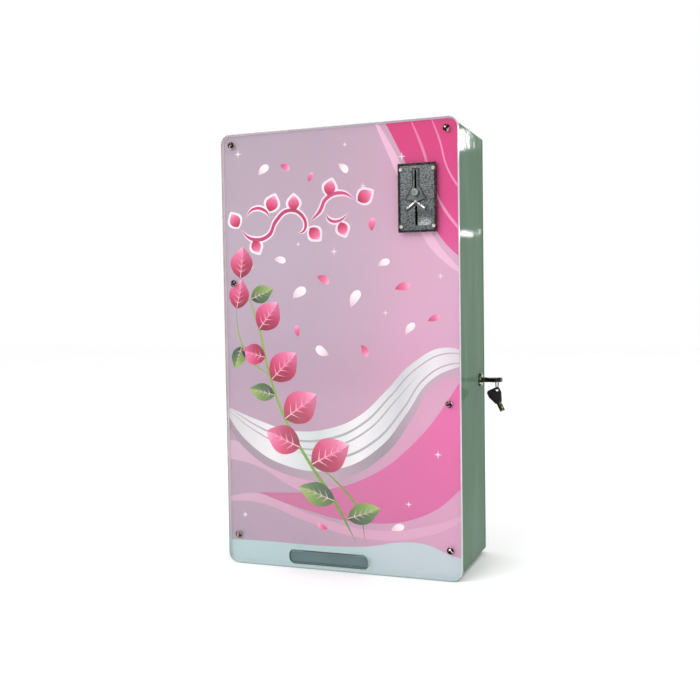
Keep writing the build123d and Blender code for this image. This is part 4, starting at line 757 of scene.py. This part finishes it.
ink_motifs("print_green_leaves", [leaf_outline], green_leaves, 8, green_ink)
ink_motifs("print_green_leaf_shadows", [leaf_shadow], green_leaves, 9, green_shadow_ink)
ink_motifs("print_leaf_veins", leaf_veins, rose_leaves + green_leaves, 10, vein_ink)

scroll_rose = shaded_ink(
    "ink_scroll_rose", [(0, (204, 48, 118)), (0.5, (186, 36, 96)), (1, (212, 72, 134))],
    (-150, 200), (20, 190),
)
scroll_halo = shaded_ink(
    "ink_scroll_halo", [(0, (244, 236, 242)), (1, (238, 222, 234))], (-150, 200), (20, 190),
)
scroll_lines = [
    (
        [(-150, 176), (-130, 160), (-104, 164), (-92, 184), (-72, 198), (-50, 188), (-48, 170), (-62, 164)],
        [2, 4.6, 5.4, 5.4, 5, 4.4, 3.4, 2],
    ),
    ([(30, 206), (10, 218), (-14, 212), (-25, 194), (-41, 180)], [2, 4.4, 5.2, 4.6, 2]),
    ([(-142, 190), (-126, 203), (-108, 199), (-101, 188)], [2, 3.6, 3.6, 2]),
    ([(20, 192), (4, 180), (-10, 182), (-16, 192)], [2, 3.6, 3.6, 2]),
]
halo_width = 4.4
halo_lines = [ribbon(line, [width + halo_width for width in widths]) for line, widths in scroll_lines]
ink_field("print_scroll_halo", halo_lines, 1, scroll_halo, trimmed=False)
ink_field("print_scroll", [ribbon(*line) for line in scroll_lines], 3, scroll_rose, trimmed=False)
bud_places = [
    (-152, 178, 22, 20, 118), (-128, 158, 20, 18, -64), (-102, 198, 24, 22, 68), (-64, 197, 22, 20, 90),
    (-40, 172, 22, 20, -48), (-12, 216, 22, 20, 74), (6, 178, 20, 18, -70), (32, 206, 24, 22, 30),
]
halo_setback = 2.4
bud_halo_places = []
for x, z, length, width, angle in bud_places:
    turn = math.radians(angle)
    x, z = x - halo_setback * math.cos(turn), z - halo_setback * math.sin(turn)
    bud_halo_places.append((x, z, length + 6, width + 9, angle))
ink_motifs("print_scroll_bud_halo", [leaf_outline], bud_halo_places, 2, scroll_halo)
ink_motifs("print_scroll_buds", [leaf_outline], bud_places, 4, rose_ink)

petal_outline = [(0, 0, 1), (0.3, 0.28), (0.72, 0.34), (1, 0.08), (0.9, -0.2), (0.5, -0.22)]
white_petals = [
    (-68, 74, 24, 22, 34), (20, 60, 26, 22, 62), (60, 116, 18, 16, 22), (-14, -6, 22, 20, 150),
    (98, 22, 20, 16, 50), (-96, 130, 18, 16, -10), (-118, 250, 20, 18, 40), (4, 258, 18, 16, -40),
    (74, -248, 20, 16, 20),
]
rose_petals = [
    (-30, 104, 20, 18, -28), (34, 8, 18, 16, -60), (84, 84, 22, 18, 12), (-60, 20, 16, 14, 100),
    (-84, 262, 16, 14, -24), (-40, 236, 14, 12, 70), (52, 164, 18, 16, 84), (130, 40, 18, 14, 20),
    (-20, -252, 16, 14, 160),
]
white_petal_ink = motif_ink(
    "ink_white_petal", [(0, (230, 190, 208)), (0.5, (246, 232, 238)), (1, (252, 246, 248))],
)
rose_petal_ink = motif_ink(
    "ink_rose_petal", [(0, (200, 40, 92)), (0.6, (236, 110, 160)), (1, (246, 176, 204))],
)
ink_motifs("print_white_petals", [petal_outline], white_petals, 7, white_petal_ink)
ink_motifs("print_rose_petals", [petal_outline], rose_petals, 7, rose_petal_ink)
spark_outline = [
    (1, 0, 1), (0.16, 0.16, 1), (0, 1, 1), (-0.16, 0.16, 1), (-1, 0, 1), (-0.16, -0.16, 1), (0, -1, 1),
    (0.16, -0.16, 1),
]
spark_places = [
    (-132, 120, 5, 5, 0), (-4, 138, 6, 6, 0), (40, 226, 5, 5, 0), (-150, 282, 6, 6, 0), (70, 52, 5, 5, 0),
    (-58, 150, 4, 4, 0), (148, 100, 5, 5, 0), (142, -140, 6, 6, 0), (100, -210, 5, 5, 0),
    (-150, -240, 5, 5, 0), (14, 284, 4, 4, 0), (96, 262, 6, 6, 0),
]
ink_motifs("print_sparks", [spark_outline], spark_places, 7, scroll_halo)


def rounded_rim(low, high, radius, outwards):
    """A rounded outline between two corners, moved outwards by millimetres, as sharp points."""
    radius = radius / mm + outwards
    left, foot = (side / mm - outwards + radius for side in (low.x, low.z))
    right, top = (side / mm + outwards - radius for side in (high.x, high.z))
    points = []
    for x, z, start in ((right, top, 0), (left, top, 90), (left, foot, 180), (right, foot, 270)):
        for step in range(9):
            turn = math.radians(start + 90 * step / 8)
            points.append((x + radius * math.cos(turn), z + radius * math.sin(turn), 1))
    return points


margin_white = new_finish("ink_margin", (218, 208, 214), 0.55)
margin_stops = [(0, (232, 214, 218)), (0.5, (218, 208, 214)), (1, (206, 198, 208))]
margin_colour = ink_shade(margin_white, margin_stops, (-175, 0), (175, 0))
margin_foot = spread(margin_white, place_along(margin_white, "Z"), -235 * mm, -275 * mm)
printed(margin_white, blend_colours(margin_white, margin_foot, margin_colour, (200, 218, 216)))
margin_width, slot_margin_width = 2.2, 1.3
rims = [
    (panel_low, panel_high, panel_radius, 3), (panel_low, panel_high, panel_radius, -margin_width),
    (slot_low, slot_high, slot_radius, slot_margin_width), (slot_low, slot_high, slot_radius, -2),
]
ink_field("print_margin", [rounded_rim(*rim) for rim in rims], 11, margin_white)


# Clear front panel. Cast acrylic 5 mm thick with rounded corners, cut out for the slot and the coin
# unit, its edges flame-polished; their bright line is a painted highlight, a pale opaque colour,
# tinted green-grey near the foot as a painted reflection of the printed foot band.
def beside_slot(place):
    """True within a millimetre of the slot."""
    return slot_low.x - mm < place.x < slot_high.x + mm and slot_low.z - mm < place.z < slot_high.z + mm


def on_panel_rim(edge):
    """True for an edge of the front face along the panel's outline."""
    places = [vertex.co for vertex in edge.verts]
    at_front = all(abs(place.y - panel_low.y) < 0.01 * mm for place in places)
    folded = not all(abs(face.normal.y) > 0.99 for face in edge.link_faces)
    band = panel_radius + mm
    outermost = any(abs(place[axis]) > panel_high[axis] - band for place in places for axis in (0, 2))
    at_slot = all(beside_slot(place) for place in places)
    at_hole = any(math.hypot(p.x - x * mm, p.z - z * mm) < 3 * mm for p in places for x, z in screw_places)
    return at_front and folded and outermost and not at_slot and not at_hole


clear_panel = front_blank("clear_panel", panel_low.y, panel_back)
round_edges(clear_panel, on_panel_rim, 0.7 * mm, 3)
clear_face = worked_finish(
    "clear_acrylic_face", (40, 34, 38), 0.03, 0.0, (9, 3), [(0.3, (36, 30, 34)), (0.7, (46, 40, 44))],
    gloss=((25, 5), 0.02, 0.06), relief=((7, 1), 0.05, 0.3),
)
set_shader(clear_face, IOR=3.6, Alpha=0.1)
clear_face.surface_render_method = "BLENDED"
# The edge's pale opaque colour is a painted highlight; near the foot it turns green-grey, a painted
# reflection of the printed foot band.
clear_edge_painted_highlight = new_finish("clear_acrylic_edge_painted_highlight", (202, 194, 204), 0.12)
edge_colour = colours_by(clear_edge_painted_highlight, cloudy(clear_edge_painted_highlight, 60), [(0.3, (192, 184, 194)), (0.7, (214, 205, 214))])
edge_foot_painted_reflection = spread(clear_edge_painted_highlight, place_along(clear_edge_painted_highlight, "Z"), -190 * mm, -250 * mm, 0, 0.8)
set_shader(clear_edge_painted_highlight, Base_Color=blend_colours(clear_edge_painted_highlight, edge_foot_painted_reflection, edge_colour, (182, 204, 204)))
uneven_gloss(clear_edge_painted_highlight, cloudy(clear_edge_painted_highlight, 200), 0.08, 0.2)
raised(clear_edge_painted_highlight, cloudy(clear_edge_painted_highlight, 900, 2, (1, 0.1, 1)), 0.03 * mm, 0.4)
clear_panel.data.materials.append(clear_face)
clear_panel.data.materials.append(clear_edge_painted_highlight)
for face in clear_panel.data.polygons:
    seen_through = beside_slot(face.center) and (face.normal.z > 0.3 or face.normal.x > 0.3)
    face.material_index = 0 if abs(face.normal.y) > 0.95 or seen_through else 1
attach(clear_panel, "cover")
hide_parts("acrylic_panel")


# Panel screws. Plated dome heads with a cross recess, one near each corner and one part-way down
# each long side; each passes through panel, sheet and front plate into a zinc nut. Their dark
# colour with near-white patches is a painted reflection.
screw_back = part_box("panel_screws")[1].y
dome_radius = 4.8 * mm
dome_height = 2.6 * mm


def dome_screw(name, radius, height, shank_radius, shank_length):
    """A screw at the origin that looks along -Y, seated at y = 0: a cap cut from a ball, a cross recess
    with one arm a little deeper than the other, and a shank."""
    ball = (radius**2 + height**2) / (2 * height)
    drop_selection()
    bpy.ops.mesh.primitive_uv_sphere_add(
        segments=48, ring_count=48, radius=ball, location=(0, ball - height, 0), rotation=(math.pi / 2, 0, 0)
    )
    screw = bpy.context.object
    screw.name = name
    settle()
    bpy.ops.object.mode_set(mode="EDIT")
    bpy.ops.mesh.select_all(action="SELECT")
    bpy.ops.mesh.bisect(
        plane_co=(0, 0, 0), plane_no=(0, 1, 0), use_fill=True, clear_outer=True, threshold=0.001 * mm
    )
    bpy.ops.object.mode_set(mode="OBJECT")
    arm, web = radius * 0.52, radius * 0.13
    for half_x, half_z, floor_share in ((arm, web, 0.35), (web, arm, 0.37)):
        recess = block(
            "recess_tool", (-half_x, -2 * height, -half_z), (half_x, -height * floor_share, half_z),
        )
        pick(recess, "FACE", lambda face: face.normal.y > 0.9)
        bpy.ops.transform.resize(value=(0.72, 1, 0.72))
        bpy.ops.object.mode_set(mode="OBJECT")
        shape_with(screw, recess, "DIFFERENCE")
    shank = rod_tool(0, 0, shank_radius, -0.2 * mm, shank_length, 24)
    shape_with(screw, shank, "UNION")
    take_up(screw)
    bpy.ops.object.shade_smooth_by_angle(angle=math.radians(35))
    return screw


# Dark with near-white patches: painted reflections on the plated heads.
plating_painted_reflections = worked_finish(
    "plating_painted_reflections", (60, 46, 46), 0.14, 1.0, (330, 1),
    [(0.46, (38, 24, 22)), (0.56, (92, 70, 64)), (0.62, (228, 214, 208))],
    gloss=((900, 3), 0.1, 0.24), relief=((2500, 2), 0.02, 0.3),
)
panel_screw = dome_screw("panel_screw", dome_radius, dome_height, 2 * mm, screw_back - panel_low.y)
panel_screw_settings = [((x * mm, panel_low.y, z * mm), (1, 1, 1), 0) for x, z in screw_places]
panel_screws = joined_copies(panel_screw, "panel_screws_crossed", panel_screw_settings)
panel_screws.data.materials.append(plating_painted_reflections)
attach(panel_screws, "cover")
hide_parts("panel_screws")
dress(zinc, "panel_nuts")


# Coin face plate. A zinc die casting with a pebbled field, a plain raised border coloured near-black as a
# painted dark reflection, and a polished collar round the slot and hood over the return slit, the hood's
# front coloured near-white as a painted highlight; four small screws hold it.
casting = new_finish("cast_plating", (140, 144, 144), 0.3, 1.0)
casting_depth = place_along(casting, "Y")
field_front = coin_high.y - 3 * mm
on_field = spread(casting, casting_depth, field_front - 0.5 * mm, field_front - 0.15 * mm)
border_width, border_fade = 2.6 * mm, 0.5 * mm
border_sides = []
for axis, middle, side in (("X", coin_middle.x, coin_high.x), ("Z", coin_middle.z, coin_high.z)):
    inner = side - middle - border_width
    off_centre = worked_out(
        casting, "ABSOLUTE", worked_out(casting, "SUBTRACT", place_along(casting, axis), middle),
    )
    border_sides.append(spread(casting, off_centre, inner - border_fade, inner))
border = worked_out(casting, "MAXIMUM", *border_sides)
pebbles = pebbled(casting, 620, "SMOOTH_F1")
field_colour = colours_by(
    casting, pebbles, [(0.1, (106, 108, 110)), (0.5, (78, 81, 82)), (0.8, (50, 52, 53))],
)
plain_colour = colours_by(casting, cloudy(casting, 160), [(0.3, (62, 68, 67)), (0.7, (96, 101, 100))])
# The hood's front is coloured near-white: a painted highlight.
hood_painted_highlight = spread(casting, casting_depth, coin_low.y + 0.9 * mm, coin_low.y + 0.5 * mm)
hood_highlight_colour = colours_by(casting, cloudy(casting, 330, 1), [(0.38, (92, 96, 94)), (0.56, (246, 247, 242))])
plain_colour = blend_colours(casting, hood_painted_highlight, plain_colour, hood_highlight_colour)
# The border's near-black colour is a painted dark reflection.
border_dark_reflection = colours_by(casting, cloudy(casting, 240), [(0.35, (28, 27, 27)), (0.75, (66, 62, 60))])
inside_colour = blend_colours(casting, on_field, plain_colour, field_colour)
set_shader(casting, Base_Color=blend_colours(casting, border, inside_colour, border_dark_reflection))
uneven_gloss(casting, cloudy(casting, 300), 0.18, 0.36)
raised(casting, worked_out(casting, "MULTIPLY", pebbles, on_field), -0.25 * mm, 0.8)
raised(casting, cloudy(casting, 1200, 2), 0.04 * mm, 0.5)
dress(casting, "coin_face_plate")
coin_screw_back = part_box("coin_plate_screws")[1].y
coin_screw_seat = coin_low.y + 2.9 * mm
coin_screw_x, coin_screw_z = 22.4 * mm, 38 * mm
coin_screw = dome_screw("coin_screw", 2.7 * mm, 1.5 * mm, 1.5 * mm, coin_screw_back - coin_screw_seat)
coin_screw_settings = []
for side in (-coin_screw_x, coin_screw_x):
    for rise in (-coin_screw_z, coin_screw_z):
        seat = (coin_middle.x + side, coin_screw_seat, coin_middle.z + rise)
        coin_screw_settings.append((seat, (1, 1, 1), 0))
coin_screws = joined_copies(coin_screw, "coin_plate_screws_crossed", coin_screw_settings)
bright_plating = worked_finish(
    "bright_plating", (182, 178, 168), 0.16, 1.0, (420, 3), [(0.3, (156, 150, 138)), (0.7, (208, 205, 198))],
    gloss=((700, 3), 0.1, 0.26), relief=((2400, 2), 0.02, 0.3),
)
coin_screws.data.materials.append(bright_plating)
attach(coin_screws, "cover")
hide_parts("coin_plate_screws")


# Reject button and its spring. A turned, plated push button with a dull face that slides in the
# casting; a steel coil spring behind its flange brings it back.
button_plating = worked_finish(
    "button_plating", (112, 116, 116), 0.3, 1.0, (380, 3), [(0.3, (88, 92, 92)), (0.7, (132, 135, 134))],
    gloss=((800, 3), 0.22, 0.4), relief=((1500, 2), 0.05, 0.5),
)
dress(button_plating, "reject_button")
spring_low, spring_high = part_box("reject_spring")
spring_middle = (spring_low + spring_high) / 2
spring_wire = 0.35 * mm
spring_radius = (spring_high.x - spring_low.x) / 2 - spring_wire
spring_turns, end_turns, turn_steps = 6, 0.8, 16
drop_selection()
bpy.ops.curve.primitive_nurbs_path_add(radius=spring_radius)
spring = bpy.context.object
spring.name = "reject_spring_coil"
spring.data.splines.clear()
coil = spring.data.splines.new("NURBS")
coil.points.add(spring_turns * turn_steps)
end_rise = end_turns * 2 * spring_wire
coil_length = spring_high.y - spring_low.y - 2 * spring_wire
for index, point in enumerate(coil.points):
    turns = index / turn_steps
    open_share = min(max((turns - end_turns) / (spring_turns - 2 * end_turns), 0), 1)
    closed_turns = min(turns, end_turns) + max(turns - spring_turns + end_turns, 0)
    rise = open_share * (coil_length - 2 * end_rise) + closed_turns * 2 * spring_wire
    turn = 2 * math.pi * turns
    point.co = (
        spring_radius * math.cos(turn), spring_low.y + spring_wire + rise, spring_radius * math.sin(turn),
        1,
    )
coil.order_u = 4
coil.use_endpoint_u = True
spring.data.resolution_u = 3
spring.data.bevel_depth = spring_wire
spring.data.bevel_resolution = 3
spring.data.use_fill_caps = True
spring.location = (spring_middle.x, 0, spring_middle.z)
spring = closed_mesh(spring, 0.001 * mm)
bpy.ops.object.shade_smooth_by_angle(angle=math.radians(40))
spring.data.materials.append(zinc)
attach(spring, "cover")
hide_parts("reject_spring")
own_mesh(spring)


# Coin unit behind the plate. A black moulded case that gauges the coin and lets it drop, a small
# switch that counts it, and a plated sheet chute strapped to the front plate that leads it down.
black_moulding = worked_finish(
    "black_moulding", (40, 40, 42), 0.5, 0.0, (80, 3), [(0.3, (34, 34, 36)), (0.7, (48, 48, 50))],
    gloss=((300, 3), 0.4, 0.58), relief=((2600, 2), 0.04, 0.6),
)
dress(black_moulding, "coin_mechanism", "battery_holder")
switch_moulding = worked_finish(
    "switch_moulding", (58, 58, 62), 0.42, 0.0, (200, 3), [(0.3, (52, 52, 56)), (0.7, (68, 68, 72))],
    relief=((3000, 2), 0.03, 0.5),
)
dress(switch_moulding, "coin_switch", "home_switch")
dress(zinc, "coin_chute")


# Cam lock in the right side. A chromed barrel with a chamfered flange outside, a hexagon nut inside,
# and a turning plug that carries the zinc cam; the tube key stands in it.
# The chrome's dark green and near-white patches are painted reflections.
lock_plating_painted_reflections = worked_finish(
    "lock_plating_painted_reflections", (170, 168, 156), 0.14, 1.0, (220, 2),
    [(0.36, (30, 40, 22)), (0.52, (104, 112, 88)), (0.64, (206, 212, 190))],
    gloss=((600, 3), 0.1, 0.24), relief=((2600, 1, (0.1, 1, 1)), 0.015, 0.4),
)
dress(lock_plating_painted_reflections, "lock_barrel", "lock_plug")
dress(zinc, "lock_nut", "lock_cam", "cam_bolt")


# Keys and ring. Nickel-plated tube keys moulded into black plastic bows; a wire ring through the
# first bow carries the spare.
# The tubes' dark colour with pale patches is a painted reflection on the nickel.
key_nickel_painted_reflections = worked_finish(
    "key_nickel_painted_reflections", (84, 82, 60), 0.22, 1.0, (380, 2),
    [(0.4, (36, 34, 22)), (0.56, (84, 82, 60)), (0.7, (176, 172, 140))],
    gloss=((900, 3), 0.14, 0.34), relief=((2000, 2, (0.1, 1, 1)), 0.02, 0.5),
)
dress(key_nickel_painted_reflections, "key_tube", "spare_key_tube")
key_plastic = worked_finish(
    "key_plastic", (10, 10, 11), 0.34, 0.0, (260, 3), [(0.3, (8, 8, 8)), (0.7, (16, 16, 16))],
    gloss=((500, 3), 0.26, 0.46), relief=((2800, 2), 0.03, 0.6),
)
set_shader(key_plastic, Specular_IOR_Level=0.3)
dress(key_plastic, "key_bow", "spare_key_bow")
ring_wire = worked_finish(
    "ring_wire", (48, 47, 42), 0.2, 1.0, (500, 3), [(0.36, (24, 24, 20)), (0.66, (74, 72, 62))],
    gloss=((1200, 3), 0.14, 0.32),
)
dress(ring_wire, "key_ring")


# Delivery flap. A plain painted sheet-steel flap behind the slot that swings in on a pin between two
# folded ears; the paint is worn a little along its lower edge.
flap_paint = new_finish("flap_paint", (80, 102, 104), 0.36)
flap_colour = colours_by(flap_paint, cloudy(flap_paint, 26, 4), [(0.3, (76, 98, 100)), (0.7, (84, 106, 108))])
flap_height = place_along(flap_paint, "Z")
flap_low, flap_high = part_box("delivery_flap")
worn = spread(flap_paint, flap_height, flap_low.z, flap_low.z + 1.2 * mm, 0.25, 0)
flap_colour = blend_colours(flap_paint, worn, flap_colour, (140, 150, 152))
# Lighter along the top edge: painted light on the strip that the slot's upper edge shades.
top_painted_light = spread(flap_paint, flap_height, flap_high.z - 3.4 * mm, flap_high.z - 1.6 * mm, 0, 0.5)
set_shader(flap_paint, Base_Color=blend_colours(flap_paint, top_painted_light, flap_colour, (166, 184, 186)))
uneven_gloss(flap_paint, cloudy(flap_paint, 90), 0.28, 0.44)
raised(flap_paint, cloudy(flap_paint, 700, 1), 0.05 * mm, 0.35)
dress(flap_paint, "delivery_flap", "flap_pin")
dress(zinc, "flap_ears")


# Magazine. Zinc-plated channel, shelf and cross strap that hold the stack of packs, and the painted
# steel weight that rides on the stack and keeps it down.
dress(
    zinc, "magazine", "magazine_strap", "magazine_shelf", "delivery_chute", "coin_box_shelf",
    "motor_bracket", "pusher",
)
weight_paint = worked_finish(
    "weight_paint", (74, 76, 78), 0.5, 0.0, (50, 3), [(0.3, (66, 68, 70)), (0.7, (86, 88, 90))],
    gloss=((150, 3), 0.4, 0.62), relief=((1200, 3), 0.08, 0.6),
)
dress(weight_paint, "follower_weight")


# Drive. The gear motor on its bracket turns a brass pinion under an acetal rack, which pushes the
# lowest pack off the shelf.
acetal = worked_finish(
    "acetal", (232, 230, 222), 0.35, 0.0, (120, 3), [(0.3, (224, 221, 210)), (0.7, (238, 236, 230))],
    relief=((1800, 2), 0.02, 0.4),
)
dress(acetal, "pusher_rack")
brass = worked_finish(
    "brass", (200, 168, 98), 0.25, 1.0, (260, 3), [(0.3, (180, 146, 78)), (0.7, (218, 188, 120))],
    gloss=((500, 3), 0.18, 0.36), relief=((2400, 1, (1, 0.1, 0.1)), 0.02, 0.4),
)
dress(brass, "drive_pinion", "board_spacers")
ground_steel = worked_finish(
    "ground_steel", (176, 177, 180), 0.22, 1.0, (900, 2, (0.05, 1, 1)),
    [(0.3, (156, 157, 160)), (0.7, (196, 197, 200))],
    relief=((2600, 1, (0.05, 1, 1)), 0.02, 0.4),
)
dress(ground_steel, "output_shaft")
motor_plating = worked_finish(
    "motor_plating", (168, 170, 174), 0.3, 1.0, (45, 4), [(0.3, (146, 148, 152)), (0.7, (190, 192, 195))],
    gloss=((120, 3), 0.2, 0.42), relief=((1800, 1, (0.05, 1, 1)), 0.02, 0.5),
)
dress(motor_plating, "gear_motor")
dress(bright_plating, "motor_screws", "board_screws", "inner_rivets")


# Coin box. A dark painted steel box with a pull at its front that stands on its own shelf and lifts
# out to be emptied.
box_paint = worked_finish(
    "box_paint", (84, 88, 94), 0.45, 0.0, (40, 3), [(0.3, (76, 80, 86)), (0.7, (94, 98, 104))],
    gloss=((120, 3), 0.36, 0.56), relief=((900, 2), 0.06, 0.5),
)
dress(box_paint, "coin_box")


# Control board. Green solder mask over copper on four brass spacers, with relays, terminal blocks,
# a chip and capacitors on its front.
solder_mask = new_finish("solder_mask", (24, 92, 52), 0.28)
mask_tracks = pebbled(solder_mask, 260, "DISTANCE_TO_EDGE")
mask_greens = [(0.03, (46, 124, 74)), (0.09, (22, 86, 48))]
set_shader(solder_mask, Base_Color=colours_by(solder_mask, mask_tracks, mask_greens))
uneven_gloss(solder_mask, cloudy(solder_mask, 300), 0.2, 0.36)
raised(solder_mask, mask_tracks, -0.05 * mm, 0.5)
dress(solder_mask, "control_board")
component_case = worked_finish(
    "component_case", (50, 56, 74), 0.4, 0.0, (120, 3), [(0.3, (42, 47, 62)), (0.7, (62, 68, 86))],
    gloss=((300, 3), 0.3, 0.5), relief=((2800, 2), 0.03, 0.5),
)
dress(component_case, "board_components")


# Battery. Four large cells in plain shrink sleeves, lying side by side in a black moulded holder.
cell_sleeve = new_finish("cell_sleeve", (88, 94, 104), 0.25)
cell_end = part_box("battery_cells")[1].x
band_width, band_fade = 15 * mm, 0.4 * mm
cell_length = place_along(cell_sleeve, "X")
cell_band = spread(cell_sleeve, cell_length, cell_end - band_width, cell_end - band_width + band_fade)
sleeve_colour = colours_by(cell_sleeve, cloudy(cell_sleeve, 60), [(0.3, (54, 58, 66)), (0.7, (66, 70, 78))])
set_shader(cell_sleeve, Base_Color=blend_colours(cell_sleeve, cell_band, sleeve_colour, (196, 158, 96)))
uneven_gloss(cell_sleeve, cloudy(cell_sleeve, 160), 0.16, 0.32)
raised(cell_sleeve, cloudy(cell_sleeve, 400, 2, (0.3, 1, 1)), 0.04 * mm, 0.4)
dress(cell_sleeve, "battery_cells")
